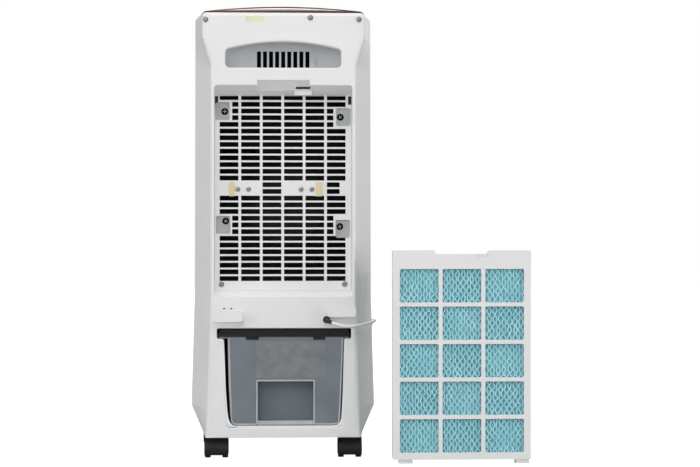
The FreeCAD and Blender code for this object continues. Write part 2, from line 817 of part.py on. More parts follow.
def evaporative_pad():
    x0 = cassette_x - cassette_width / 2 + 3.0
    x1 = cassette_x + cassette_width / 2 - 3.0
    z0 = cassette_base_z() + 3.0
    y0 = cassette_outer_y + 3.2
    return box(x0, x1, y0, cassette_outer_y + cassette_thickness - 3.2,
               z0, cassette_base_z() + cassette_height - 14.5)


# ---- Casters ----


def caster_hood(x, y):
    """A twin-wheel caster's swivelling hood, its fender and its stem."""
    axle_y = y - caster_trail
    axle_z = wheel_radius
    start = V(x - hood_half_width, axle_y, axle_z)
    fender = ring(start, X_AXIS, hood_radius, hood_radius - 1.6, 2 * hood_half_width)
    web = rod(V(x - wheel_inner_x + 0.6, axle_y, axle_z), X_AXIS, hood_radius,
              2 * (wheel_inner_x - 0.6))
    low = box(x - 30, x + 30, axle_y - 30, axle_y + 30, -10, 5.0)
    bore = rod(V(x - 30, axle_y, axle_z), X_AXIS, axle_radius + running_gap, 60)
    stem = rod(V(x, y, axle_z + 9), Z_AXIS, stem_radius, shell_bottom + 12.5 - axle_z - 9)
    collar = rod(V(x, y, axle_z + 9), Z_AXIS, 7.0, shell_bottom - 0.8 - axle_z - 9)
    return fused([fender, web.cut(bore), stem, collar]).cut(low)


def caster_wheels(x, y):
    """The two wheels and their axle."""
    axle_y = y - caster_trail
    pieces = [rod(V(x - wheel_inner_x, axle_y, wheel_radius), X_AXIS, axle_radius,
                  2 * wheel_inner_x)]
    for side in (-1, 1):
        start = V(x + side * wheel_inner_x, axle_y, wheel_radius)
        tyre = rod(start, side * X_AXIS, wheel_radius, wheel_outer_x - wheel_inner_x)
        dish = rod(start + V(side * 7.5, 0, 0), side * X_AXIS, wheel_radius - 4.0, 5.0)
        edges = [e for e in tyre.Edges if e.Curve.TypeId == "Part::GeomCircle"]
        pieces.append(tyre.makeFillet(1.2, edges).cut(dish))
    return fused(pieces)


# ---- Fan, duct and electrics ----


def scroll_prism(inset, y0, y1):
    """The blower's spiral outline, which grows round the wheel to a straight way up."""
    def at(degrees, radius):
        angle = math.radians(degrees)
        r = radius - inset
        return V(r * math.cos(angle), y0, fan_z + r * math.sin(angle))
    start = at(120, 88.0)
    right = at(360, duct_half_width)
    top_z = duct_low_z + 2.0
    edges = [arc(start, at(165, 91.0), at(210, 95.0)),
             arc(at(210, 95.0), at(255, 99.0), at(300, 102.5)),
             arc(at(300, 102.5), at(330, 104.5), right),
             line(right, V(right.x, y0, top_z)),
             line(V(right.x, y0, top_z), V(start.x, y0, top_z)),
             line(V(start.x, y0, top_z), start)]
    return closed_prism(edges, V(0, y1 - y0, 0))


def blower_scroll():
    w = duct_half_width
    outer = scroll_prism(0.0, scroll_rear_y, scroll_front_y)
    outer = outer.fuse(box(-w, w, scroll_rear_y, duct_front_y, duct_low_z, duct_high_z))
    inner = scroll_prism(wall, scroll_rear_y + wall, scroll_front_y - wall)
    inner = inner.fuse(box(wall - w, w - wall, scroll_rear_y + wall, duct_front_y + 1,
                           duct_low_z + wall - 1.0, duct_high_z - wall))
    mouth = rod(V(0, scroll_rear_y - 1, fan_z), Y_AXIS, 68.0, wall + 2)
    shaft_way = rod(V(0, scroll_front_y - wall - 1, fan_z), Y_AXIS, 8.0, wall + 2)
    return outer.cut(inner).cut(mouth).cut(shaft_way).removeSplitter()


def blower_wheel():
    """A forward-curved centrifugal wheel: hub, back plate, blades and front ring."""
    plate = rod(V(0, fan_front_y - 2.5, fan_z), Y_AXIS, fan_radius, 2.5)
    hub = rod(V(0, fan_front_y - 28.0, fan_z), Y_AXIS, 12.0, 26.0)
    rim = ring(V(0, fan_rear_y, fan_z), Y_AXIS, fan_radius, fan_radius - 13.0, 2.5)
    pieces = [plate, hub, rim]
    length = fan_front_y - fan_rear_y - 3.0
    for i in range(fan_blades):
        blade = box(-0.7, 0.7, fan_rear_y + 1.5, fan_rear_y + 1.5 + length,
                    fan_z + fan_radius - 12.0, fan_z + fan_radius - 1.0)
        blade.rotate(V(0, 0, fan_z + fan_radius - 6.5), Y_AXIS, 28.0)
        blade.rotate(V(0, 0, fan_z), Y_AXIS, 360.0 * i / fan_blades)
        pieces.append(blade)
    bore = rod(V(0, fan_rear_y - 5, fan_z), Y_AXIS, shaft_radius, 90.0)
    return fused(pieces).cut(bore)


def motor_shaft():
    return rod(V(0, fan_front_y - 26.0, fan_z), Y_AXIS, shaft_radius, 66.0)


def fan_motor():
    """The fan motor, on a flange against the blower's front wall."""
    flange = rod(V(0, scroll_front_y, fan_z), Y_AXIS, 52.0, 3.0)
    body = rod(V(0, scroll_front_y, fan_z), Y_AXIS, 40.0, 46.0)
    cap = rod(V(0, scroll_front_y + 46.0, fan_z), Y_AXIS, 14.0, 6.0)
    bore = rod(V(0, scroll_front_y - 1, fan_z), Y_AXIS, shaft_radius + running_gap, 40.0)
    return fused([flange, body, cap]).cut(bore)


def outlet_frame():
    w = outlet_half_width
    outer = box(-w, w, outlet_rear_y, lip_y, outlet_low_z, outlet_high_z)
    lip = upright_plate(-w - 4, w + 4, front_y, lip_y, outlet_low_z - 4, outlet_high_z + 4, 6.0)
    t = outlet_wall
    inner = box(t - w, w - t, outlet_rear_y - 1, lip_y + 1, outlet_low_z + t, outlet_high_z - t)
    bores = []
    for z in louvre_heights():
        bores.append(rod(V(-w - 1, louvre_y, z), X_AXIS, pin_radius + running_gap, 2 * w + 2))
    for x in vane_places():
        bores.append(rod(V(x, vane_y, outlet_low_z - 1), Z_AXIS, pin_radius + running_gap,
                         outlet_high_z - outlet_low_z + 2))
    return outer.fuse(lip).cut(inner).cut(Part.makeCompound(bores)).removeSplitter()


def louvre_heights():
    low = outlet_low_z + outlet_wall
    pitch = (outlet_high_z - outlet_low_z - 2 * outlet_wall) / louvre_count
    return [low + (i + 0.5) * pitch for i in range(louvre_count)]


def vane_places():
    return [(i - (vane_count - 1) / 2) * vane_pitch for i in range(vane_count)]


def louvre(z):
    w = outlet_half_width - outlet_wall - end_gap
    blade = box(-w, w, louvre_y - louvre_chord / 2, louvre_y + louvre_chord / 2, z - 1.2, z + 1.2)
    spine = rod(V(-w, louvre_y, z), X_AXIS, 2.6, 2 * w)
    pin = rod(V(-w - pin_length, louvre_y, z), X_AXIS, pin_radius, 2 * (w + pin_length))
    return fused([blade, spine, pin])


def vane(x, drive_length):
    low = outlet_low_z + outlet_wall + end_gap
    high = outlet_high_z - outlet_wall - end_gap
    blade = box(x - 1.0, x + 1.0, vane_y - vane_chord / 2, vane_y + vane_chord / 2, low, high)
    spine = rod(V(x, vane_y, low), Z_AXIS, 2.6, high - low)
    pin = rod(V(x, vane_y, low - pin_length), Z_AXIS, pin_radius,
              high - low + 2 * pin_length + drive_length)
    return fused([blade, spine, pin])


def swing_motor():
    """The small geared motor that swings the vanes, on top of the outlet frame."""
    body = rod(V(0, vane_y, outlet_high_z), Z_AXIS, 13.0, 18.0)
    ears = box(-21, 21, vane_y - 4, vane_y + 4, outlet_high_z, outlet_high_z + 2)
    bore = rod(V(0, vane_y, outlet_high_z - 1), Z_AXIS, pin_radius + running_gap, 12.0)
    return fused([body, ears]).cut(bore)


def control_board():
    top = shell_top - wall
    board = box(-70, 70, 40, 112, top - 14.0, top - 12.4)
    posts = [rod(V(x, y, top - 12.4), Z_AXIS, 3.0, 12.4) for x in (-64, 64) for y in (46, 106)]
    parts = [box(-50, -22, 80, 104, top - 24.0, top - 14.0), box(-8, 8, 78, 100, top - 28.0, top - 14.0),
             box(22, 52, 84, 100, top - 22.0, top - 14.0)]
    return fused([board] + posts + parts)


# ---- Tubes along a route of straight runs and tangent arcs ----


def rounded_path(points):
    """Edges along the points, with the largest arc that each corner allows, and the arc radii."""
    edges = []
    radii = []
    start = points[0]
    for i in range(1, len(points) - 1):
        back = points[i - 1] - points[i]
        ahead = points[i + 1] - points[i]
        half_turn = (math.pi - back.getAngle(ahead)) / 2
        reach = 0.45 * min(back.Length, ahead.Length)
        radius = reach / math.tan(half_turn)
        back.normalize()
        ahead.normalize()
        middle = back + ahead
        middle.normalize()
        first = points[i] + back * reach
        last = points[i] + ahead * reach
        bulge = points[i] + middle * (radius / math.cos(half_turn) - radius)
        edges.append(line(start, first))
        edges.append(arc(first, bulge, last))
        radii.append(radius)
        start = last
    edges.append(line(start, points[-1]))
    return edges, radii


def tube(points, diameter):
    edges, radii = rounded_path(points)
    path = Part.Wire(edges)
    profile = Part.Wire([Part.Circle(points[0], points[1] - points[0], diameter / 2).toShape()])
    solid = path.makePipeShell([profile], True, False)
    length = sum(e.Length for e in edges)
    section = math.pi * diameter ** 2 / 4
    print("tube: length %.0f, volume over section times length %.4f, least radius %.1f"
          % (length, solid.Volume / (section * length), min(radii)))
    print("radii:", " ".join("%.0f" % r for r in radii))
    return solid


# Centre line of the cord from the grommet, round the right flank and down to the coil.
cord_route = [
    V(grommet_x, grommet_face_y, grommet_z),
    V(67.0, -164.0, 216.3),
    V(71.5, -174.0, 214.3),
    V(81.5, -179.0, 210.8),
    V(94.0, -177.5, 207.6),
    V(107.0, -168.5, 207.0),
    V(121.0, -148.0, 208.6),
    V(135.0, -113.0, 210.6),
    V(145.3, -76.0, 211.6),
    V(147.0, -34.0, 211.0),
    V(146.8, 18.0, 208.4),
    V(148.2, 70.0, 203.5),
    V(147.6, 110.0, 193.5),
    V(142.0, 146.0, 172.0),
    V(134.5, 170.0, 139.0),
    V(127.5, 184.5, 102.0),
    V(119.0, 193.0, 65.0),
    V(106.0, 197.0, 33.0),
    V(87.0, 196.2, 11.0),
    V(64.5, 194.6, cord_diameter / 2),
    V(coil_x + 14.0, 194.0, cord_diameter / 2 + 0.05),
]

# Centre line of the hose from the tank's coupling to the spout.
hose_route = [
    V(pump_x, pump_y, bay_high_z - 0.6),
    V(pump_x, pump_y, 240.0),
    V(121.0, 62.0, 275.0),
    V(121.5, 40.0, 420.0),
    V(121.0, -18.0, 535.0),
    V(117.0, -76.0, 580.0),
    V(80.0, -98.0, 584.0),
    V(31.0, -94.0, 572.0),
    V(31.0, pan_back_y, 572.0),
]


def grommet():
    flange = rod(V(grommet_x, grommet_face_y, grommet_z), Y_AXIS, grommet_radius,
                 panel_y - grommet_face_y)
    body = rod(V(grommet_x, panel_y, grommet_z), Y_AXIS, grommet_body_radius, 6.0)
    return flange.fuse(body).removeSplitter()


def cord_coil():
    outer = coil_mean_radius + coil_band / 2
    inner = coil_mean_radius - coil_band / 2
    return ring(V(coil_x, coil_y, 0.0), Z_AXIS, outer, inner, coil_height)


def plug_body():
    """The moulded plug, lying flat beside the coil."""
    x = plug_tail_x
    y = plug_y
    relief = Part.makeCone(2.9, 5.0, 22.0, V(x, y, 7.0), X_AXIS)
    body = box(x + 20.0, x + 55.0, y - 13.0, y + 13.0, 0.0, 14.0)
    body = body.makeFillet(3.0, body.Edges)
    return relief.fuse(body).removeSplitter()


def plug_pins():
    x = plug_tail_x + 55.0
    pins = [rod(V(x, plug_y + side * 9.3, 7.0), X_AXIS, 2.35, 19.0) for side in (-1, 1)]
    return Part.makeCompound(pins)


# ---- Write every piece ----


def main():
    os.makedirs("parts", exist_ok=True)
    node("rear_shell", rear_shell())
    node("front_shell", front_shell())
    node("base_pan", base_pan())
    node("bay_liner", bay_liner())
    node("top_trim", top_trim())
    node("top_cover", top_cover())
    node("control_panel", control_panel())
    for i, x in enumerate(button_xs()):
        node("button_%d" % (i + 1), button(x))
    node("rear_grille", rear_grille())
    node("case_screws", case_screws())
    node("pocket_screws", pocket_screws())
    node("foam_strips", foam_strips())
    node("water_spout", water_spout())
    node("seal_sticker", seal_sticker())
    node("rating_label", rating_label())
    node("cord_hooks", cord_hooks())
    node("cord_grommet", grommet())
    node("power_cord", tube(cord_route, cord_diameter))
    node("cord_coil", cord_coil())
    node("plug_body", plug_body())
    node("plug_pins", plug_pins())
    node("tank", tank())
    node("tank_lid", tank_lid())
    node("water_pump", water_pump())
    node("tank_label", tank_label())
    node("cassette_frame", cassette_frame())
    node("cassette_back", cassette_back())
    node("evaporative_pad", evaporative_pad())
    for name, x, y in caster_places():
        node("caster_hood_" + name, caster_hood(x, y))
        node("caster_wheels_" + name, caster_wheels(x, y))
    node("blower_scroll", blower_scroll())
    node("blower_wheel", blower_wheel())
    node("motor_shaft", motor_shaft())
    node("fan_motor", fan_motor())
    node("pump_hose", tube(hose_route, 10.0))
    node("outlet_frame", outlet_frame())
    for i, z in enumerate(louvre_heights()):
        node("louvre_%d" % (i + 1), louvre(z))
    for i, x in enumerate(vane_places()):
        node("vane_%d" % (i + 1), vane(x, 8.0 if abs(x) < 1 else 0.0))
    node("swing_motor", swing_motor())
    node("control_board", control_board())


main()
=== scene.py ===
import json
import math
import random

import bmesh
import bpy
from mathutils import Matrix, Vector

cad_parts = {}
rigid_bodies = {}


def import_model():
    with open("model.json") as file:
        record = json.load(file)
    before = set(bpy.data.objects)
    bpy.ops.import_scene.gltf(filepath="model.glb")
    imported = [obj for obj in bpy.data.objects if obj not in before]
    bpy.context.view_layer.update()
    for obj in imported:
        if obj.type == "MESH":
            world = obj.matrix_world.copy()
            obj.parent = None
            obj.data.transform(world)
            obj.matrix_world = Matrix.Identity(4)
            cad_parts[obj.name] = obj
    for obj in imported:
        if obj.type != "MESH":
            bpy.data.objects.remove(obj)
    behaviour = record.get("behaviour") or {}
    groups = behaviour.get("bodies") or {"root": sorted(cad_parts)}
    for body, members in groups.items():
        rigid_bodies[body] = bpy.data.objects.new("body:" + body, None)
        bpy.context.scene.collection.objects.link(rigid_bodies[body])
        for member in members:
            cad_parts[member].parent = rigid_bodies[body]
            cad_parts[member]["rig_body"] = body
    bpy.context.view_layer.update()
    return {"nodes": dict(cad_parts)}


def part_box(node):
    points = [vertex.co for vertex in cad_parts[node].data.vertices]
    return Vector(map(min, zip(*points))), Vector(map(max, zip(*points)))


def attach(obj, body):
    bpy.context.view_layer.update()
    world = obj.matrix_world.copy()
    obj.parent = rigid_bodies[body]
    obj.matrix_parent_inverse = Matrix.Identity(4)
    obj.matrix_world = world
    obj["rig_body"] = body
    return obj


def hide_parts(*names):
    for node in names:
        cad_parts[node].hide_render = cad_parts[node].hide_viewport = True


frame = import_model()
scene = bpy.context.scene
nodes = frame["nodes"]
print("frame loaded:", len(nodes), "CAD nodes")


# small helpers

def linear(hexText):
    # sRGB hex to the linear colour that a shader wants
    channels = []
    for start in (0, 2, 4):
        value = int(hexText[start:start + 2], 16) / 255
        channels.append(value / 12.92 if value <= 0.04045 else ((value + 0.055) / 1.055) ** 2.4)
    return (*channels, 1.0)


def addNode(tree, kind, inputs=None, **settings):
    # one node, its settings, and its inputs as numbers or as links from other nodes' outputs
    node = tree.nodes.new(kind)
    for name, value in settings.items():
        setattr(node, name, value)
    for name, value in (inputs or {}).items():
        if isinstance(value, bpy.types.NodeSocket):
            tree.links.new(value, node.inputs[name])
        else:
            node.inputs[name].default_value = value
    return node


def startMaterial(name, values):
    material = bpy.data.materials.new(name)
    material.use_nodes = True
    shader = material.node_tree.nodes["Principled BSDF"]
    for socket, value in values.items():
        shader.inputs[socket].default_value = value
    return material, material.node_tree, shader


def placePiece(piece, material, body, replaced=()):
    # gives a new object its material, its CAD body and the CAD nodes it stands for
    if piece.name not in scene.collection.objects:
        scene.collection.objects.link(piece)
    if material:
        piece.data.materials.clear()
        piece.data.materials.append(material)
    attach(piece, body)
    if replaced:
        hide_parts(*replaced)
    return piece


def pieceFromBmesh(name, bm, material, body, replaced=(), smooth=True):
    mesh = bpy.data.meshes.new(name)
    bm.to_mesh(mesh)
    bm.free()
    for face in mesh.polygons:
        face.use_smooth = smooth
    return placePiece(bpy.data.objects.new(name, mesh), material, body, replaced)


def softenEdges(piece, width, segments=2, angle=35):
    bevel = piece.modifiers.new("softEdges", "BEVEL")
    bevel.width = width
    bevel.segments = segments
    bevel.limit_method = "ANGLE"
    bevel.angle_limit = math.radians(angle)
    bevel.harden_normals = True
    return piece


def softBox(name, size, centre, edge, material, body, slotName):
    # a small moulded bar, softened along its edges
    bm = bmesh.new()
    bmesh.ops.create_cube(bm, size=1)
    bmesh.ops.scale(bm, vec=size, verts=bm.verts)
    bmesh.ops.translate(bm, vec=centre, verts=bm.verts)
    return softenEdges(pieceFromBmesh(name, bm, material, body), edge)


def roundedCopy(node, name, edge, material, angle=35, segments=2):
    # a copy of a CAD solid with its edges rounded as a mould leaves them
    bm = bmesh.new()
    bm.from_mesh(nodes[node].data)
    bmesh.ops.remove_doubles(bm, verts=bm.verts, dist=0.00002)
    bmesh.ops.dissolve_limit(bm, angle_limit=math.radians(1.0), verts=bm.verts, edges=bm.edges)
    piece = pieceFromBmesh(name, bm, material, nodes[node]["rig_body"], (node,))
    custom = piece.data.attributes.get("custom_normal")
    if custom:
        piece.data.attributes.remove(custom)
    return softenEdges(piece, edge, segments, angle)


def spinProfile(bm, profile, segments=32):
    # a lathed form about +Z from (radius, height) pairs
    corners = [bm.verts.new((radius, 0, height)) for radius, height in profile]
    edges = [bm.edges.new(pair) for pair in zip(corners, corners[1:])]
    bmesh.ops.spin(bm, geom=corners + edges, cent=(0, 0, 0), axis=(0, 0, 1),
                   angle=math.tau, steps=segments, use_merge=True, use_duplicate=False)
    bmesh.ops.remove_doubles(bm, verts=bm.verts, dist=0.00001)
    bmesh.ops.recalc_face_normals(bm, faces=bm.faces)


def lathedMesh(name, profile, segments):
    # a lathed form as a mesh that can be stamped many times
    bm = bmesh.new()
    spinProfile(bm, profile, segments)
    mesh = bpy.data.meshes.new(name)
    bm.to_mesh(mesh)
    bm.free()
    return mesh


def facing(place, direction=(0, -1, 0)):
    # turns +Z to a direction and moves the origin to a place
    turn = Vector((0, 0, 1)).rotation_difference(Vector(direction))
    return Matrix.Translation(place) @ turn.to_matrix().to_4x4()


def stamp(bm, mesh, matrix):
    # adds one copy of a mesh to a bmesh, turned and moved into place
    before = len(bm.verts)
    bm.from_mesh(mesh)
    bm.verts.ensure_lookup_table()
    bmesh.ops.transform(bm, matrix=matrix, verts=bm.verts[before:])


def ribbon(bm, first, second):
    # a strip of faces between two lines with the same number of points
    pairs = [(bm.verts.new(a), bm.verts.new(b)) for a, b in zip(first, second)]
    for (a, b), (c, d) in zip(pairs, pairs[1:]):
        bm.faces.new((a, b, d, c))


def thickPiece(name, bm, thickness, material, body):
    # gives open strips their wall
    bm.normal_update()
    bmesh.ops.solidify(bm, geom=bm.faces[:], thickness=thickness)
    bmesh.ops.recalc_face_normals(bm, faces=bm.faces)
    return pieceFromBmesh(name, bm, material, body)


# camera, light and floor

stageLook = {
    "eye": (-0.02, -3.15, 0.35),
    "target": (0.103, -0.15, 0.35),
    "lens": 99.9,
    "worldLight": 0.33,
    "floorGlow": 0.98,
    # softbox: (place, aim, size, power)
    "softboxes": {
        "frontSoftbox": ((-0.9, -2.9, 1.3), (0.05, 0, 0.35), 1.8, 14),
        "topSoftbox": ((0.1, -1.6, 2.6), (0.1, -0.1, 0.3), 1.8, 25),
        "rightSoftbox": ((2.6, -1.3, 0.5), (0, 0, 0.3), 1.6, 28),
        "outletSoftbox": ((0.7, 3.2, 1.5), (0, 0, 0.35), 1.8, 16),
        "leftSoftbox": ((-2.4, -1.3, 0.9), (0, 0, 0.3), 1.6, 17),
    },
}


def aimAt(thing, place, target):
    thing.location = place
    thing.rotation_euler = (Vector(target) - Vector(place)).to_track_quat("-Z", "Y").to_euler()
    scene.collection.objects.link(thing)


def makeStage(look):
    camera = bpy.data.objects.new("viewCamera", bpy.data.cameras.new("viewCamera"))
    camera.data.lens = look["lens"]
    camera.data.sensor_width = 36
    camera.data.clip_start = 0.05
    camera.data.clip_end = 60
    aimAt(camera, look["eye"], look["target"])
    scene.camera = camera

    for name, (place, target, size, power) in look["softboxes"].items():
        light = bpy.data.objects.new(name, bpy.data.lights.new(name, "AREA"))
        light.data.size = size
        light.data.energy = power
        aimAt(light, place, target)

    world = bpy.data.worlds.new("whiteStudio")
    world.use_nodes = True
    scene.world = world
    tree = world.node_tree
    background = tree.nodes["Background"]
    background.inputs["Color"].default_value = linear("FFFFFF")
    ray = addNode(tree, "ShaderNodeLightPath")
    strength = addNode(tree, "ShaderNodeMapRange", {
        "Value": ray.outputs["Is Camera Ray"], "To Min": look["worldLight"], "To Max": 1.0})
    tree.links.new(strength.outputs["Result"], background.inputs["Strength"])
    scene.view_settings.view_transform = "Standard"

    bm = bmesh.new()
    bmesh.ops.create_grid(bm, x_segments=1, y_segments=1, size=9)
    mesh = bpy.data.meshes.new("studioFloor")
    bm.to_mesh(mesh)
    bm.free()
    floor = bpy.data.objects.new("studioFloor", mesh)
    scene.collection.objects.link(floor)
    paper, tree, shader = startMaterial("Studio paper, matt white", {
        "Base Color": linear("BABAB8"), "Roughness": 0.9, "Emission Color": linear("FFFFFF")})
    # the paper looks white without lighting the object from below
    seen = addNode(tree, "ShaderNodeLightPath")
    glow = addNode(tree, "ShaderNodeMapRange", {
        "Value": seen.outputs["Is Camera Ray"], "To Min": 0.0, "To Max": look["floorGlow"]})
    tree.links.new(glow.outputs["Result"], shader.inputs["Emission Strength"])
    mesh.materials.append(paper)


makeStage(stageLook)
print("stage ready")


# materials

def twoTone(tree, shader, pattern, look, low=0.3, high=0.7):
    # colours a surface between its deep and its light tint, by a pattern
    tint = addNode(tree, "ShaderNodeValToRGB", {"Fac": pattern})
    for end, place, colour in ((0, low, look["deep"]), (1, high, look["light"])):
        tint.color_ramp.elements[end].position = place
        tint.color_ramp.elements[end].color = linear(colour)
    tree.links.new(tint.outputs["Color"], shader.inputs["Base Color"])


def mouldedPlastic(name, look):
    # injection-moulded plastic: faint flow clouds in colour and gloss, and a fine spark-eroded grain
    material, tree, shader = startMaterial(name, {"IOR": look["ior"], "Roughness": look["roughness"]})
    place = addNode(tree, "ShaderNodeTexCoord")
    flow = addNode(tree, "ShaderNodeTexNoise",
                   {"Vector": place.outputs["Object"], "Scale": 1000 / look["flowMm"], "Detail": 3.0})
    twoTone(tree, shader, flow.outputs["Fac"], look)
    gloss = addNode(tree, "ShaderNodeMapRange", {
        "Value": flow.outputs["Fac"], "From Min": 0.3, "From Max": 0.7,
        "To Min": look["roughness"] - 0.04, "To Max": look["roughness"] + 0.04})
    tree.links.new(gloss.outputs["Result"], shader.inputs["Roughness"])
    grain = addNode(tree, "ShaderNodeTexNoise",
                    {"Vector": place.outputs["Object"], "Scale": 1000 / look["grainMm"], "Detail": 1.0})
    bump = addNode(tree, "ShaderNodeBump", {
        "Height": grain.outputs["Fac"], "Strength": look["grainStrength"],
        "Distance": look["grainDepthMm"] / 1000})
    tree.links.new(bump.outputs["Normal"], shader.inputs["Normal"])
    return material


# ABS moulded in a spark-eroded tool: a soft, even sheen on a very slightly cool white
whiteAbs = mouldedPlastic("Moulded ABS, satin white", {
    "light": "F3F3F3", "deep": "EEEEEF", "ior": 1.54, "roughness": 0.42,
    "flowMm": 140, "grainMm": 0.9, "grainStrength": 0.12, "grainDepthMm": 0.05})
# the same ABS in grey, which the corner plates are made of
greyAbs = mouldedPlastic("Moulded ABS, mid grey", {
    "light": "BBBEBE", "deep": "ADB0B0", "ior": 1.54, "roughness": 0.5,
    "flowMm": 20, "grainMm": 0.8, "grainStrength": 0.15, "grainDepthMm": 0.05})
# polypropylene: a waxy, duller black
blackPolypropylene = mouldedPlastic("Moulded polypropylene, black", {
    "light": "1F1F1E", "deep": "171717", "ior": 1.49, "roughness": 0.48,
    "flowMm": 60, "grainMm": 0.9, "grainStrength": 0.15, "grainDepthMm": 0.05})
# the fan's housing: black plastic darkened further with painted shade, so the grille's slots look deep
shadedBlackPolypropylene = mouldedPlastic("Moulded polypropylene, black with painted shade", {
    "light": "0B0B0B", "deep": "070707", "ior": 1.35, "roughness": 0.75,
    "flowMm": 60, "grainMm": 0.9, "grainStrength": 0.15, "grainDepthMm": 0.05})
# the tank's lid is a glossier black, with a clear highlight along its ridge
glossBlackAbs = mouldedPlastic("Moulded ABS, semi-gloss black", {
    "light": "0B0B0A", "deep": "080808", "ior": 1.5, "roughness": 0.36,
    "flowMm": 80, "grainMm": 1.2, "grainStrength": 0.05, "grainDepthMm": 0.03})
# nylon caster wheels: hard, dry black
blackNylon = mouldedPlastic("Moulded nylon, black", {
    "light": "2A2A2A", "deep": "202020", "ior": 1.53, "roughness": 0.4,
    "flowMm": 12, "grainMm": 0.7, "grainStrength": 0.2, "grainDepthMm": 0.05})
# natural silicone hose
greySilicone = mouldedPlastic("Extruded silicone, translucent grey", {
    "light": "B9BDBE", "deep": "A9ADAF", "ior": 1.43, "roughness": 0.35,
    "flowMm": 30, "grainMm": 1.5, "grainStrength": 0.05, "grainDepthMm": 0.04})
# soft PVC sheath of the lead: ivory, with a slightly greasy sheen
ivoryPvc = mouldedPlastic("Extruded PVC, ivory", {
    "light": "F2F2EC", "deep": "EBEBE4", "ior": 1.53, "roughness": 0.4,
    "flowMm": 25, "grainMm": 1.0, "grainStrength": 0.06, "grainDepthMm": 0.03})


def smokyTankPlastic(look):
    # clear SAN tinted smoke grey and lightly frosted inside, so that what is behind shows only as tone
    material, tree, shader = startMaterial("Moulded SAN, smoky translucent", {
        "IOR": 1.3, "Transmission Weight": look["transmission"]})
    place = addNode(tree, "ShaderNodeTexCoord")
    flow = addNode(tree, "ShaderNodeTexNoise",
                   {"Vector": place.outputs["Object"], "Scale": 1000 / look["flowMm"], "Detail": 2.0})
    twoTone(tree, shader, flow.outputs["Fac"], look)
    frost = addNode(tree, "ShaderNodeMapRange", {
        "Value": flow.outputs["Fac"],
        "To Min": look["roughness"] - 0.06, "To Max": look["roughness"] + 0.06})
    tree.links.new(frost.outputs["Result"], shader.inputs["Roughness"])
    return material


tankLook = {"light": "C0C9D1", "deep": "AEB8C1", "transmission": 0.6, "roughness": 0.2, "flowMm": 70}
smokySan = smokyTankPlastic(tankLook)


def brightMetal(name, look):
    # metal with fine brushed or turned lines; a metal keeps the default IOR
    material, tree, shader = startMaterial(name, {"Metallic": 1.0, "Roughness": look["roughness"]})
    place = addNode(tree, "ShaderNodeTexCoord")
    stretch = addNode(tree, "ShaderNodeMapping", {
        "Vector": place.outputs["Object"], "Scale": look["stretch"]})
    lines = addNode(tree, "ShaderNodeTexNoise",
                    {"Vector": stretch.outputs["Vector"], "Scale": 1000 / look["lineMm"], "Detail": 2.0})
    twoTone(tree, shader, lines.outputs["Fac"], look)
    gloss = addNode(tree, "ShaderNodeMapRange", {
        "Value": lines.outputs["Fac"],
        "To Min": look["roughness"] - 0.06, "To Max": look["roughness"] + 0.06})
    tree.links.new(gloss.outputs["Result"], shader.inputs["Roughness"])
    return material


# vacuum-metallised ABS: a smooth rose bronze with a soft mirror
roseBronze = brightMetal("Metallised ABS, rose bronze", {
    "light": "7C5A4D", "deep": "66463B", "roughness": 0.28, "lineMm": 40, "stretch": (1, 1, 1)})
# the bright insert that runs round the trim
silverInsert = brightMetal("Metallised ABS, silver white", {
    "light": "D9D6D3", "deep": "CBC7C3", "roughness": 0.34, "lineMm": 30, "stretch": (1, 1, 1)})
# zinc-plated screws: grey with a faint blue
zincSteel = brightMetal("Zinc-plated steel", {
    "light": "B4B5B6", "deep": "949597", "roughness": 0.38, "lineMm": 1.5, "stretch": (1, 1, 1)})
# the same zinc, darkened as painted shadow round the heads
paintedShadowZinc = brightMetal("Zinc-plated steel, painted shadow", {
    "light": "6C6D6F", "deep": "55575A", "roughness": 0.6, "lineMm": 1.5, "stretch": (1, 1, 1)})
# screws coloured nearly black deep in the grille's pockets: painted shade of the holes they sit in
paintedShadeSteel = brightMetal("Steel, black with painted shade", {
    "light": "0D0E0C", "deep": "070806", "roughness": 0.6, "lineMm": 1.5, "stretch": (1, 1, 1)})
nickelBrass = brightMetal("Nickel-plated brass", {
    "light": "D8D2C4", "deep": "C6BFAF", "roughness": 0.22, "lineMm": 2, "stretch": (1, 6, 6)})
# rolled and drawn steel of the motor cans, lightly brushed round
drawnSteel = brightMetal("Drawn steel, galvanised", {
    "light": "B4B6B8", "deep": "9A9DA0", "roughness": 0.4, "lineMm": 3, "stretch": (1, 8, 1)})
groundSteel = brightMetal("Ground shaft steel", {
    "light": "CFD0D1", "deep": "BDBEC0", "roughness": 0.2, "lineMm": 1, "stretch": (1, 5, 1)})


def glossPanel():
    # black PMMA: deep and glassy, with the faintest haze of fingerprints
    material, tree, shader = startMaterial("Moulded PMMA, gloss black", {
        "Base Color": linear("0C0C0D"), "IOR": 1.49, "Coat Weight": 0.6, "Coat Roughness": 0.03})
    place = addNode(tree, "ShaderNodeTexCoord")
    haze = addNode(tree, "ShaderNodeTexNoise", {
        "Vector": place.outputs["Object"], "Scale": 45.0, "Detail": 4.0})
    gloss = addNode(tree, "ShaderNodeMapRange", {
        "Value": haze.outputs["Fac"], "To Min": 0.04, "To Max": 0.2})
    tree.links.new(gloss.outputs["Result"], shader.inputs["Roughness"])
    return material


glossBlack = glossPanel()


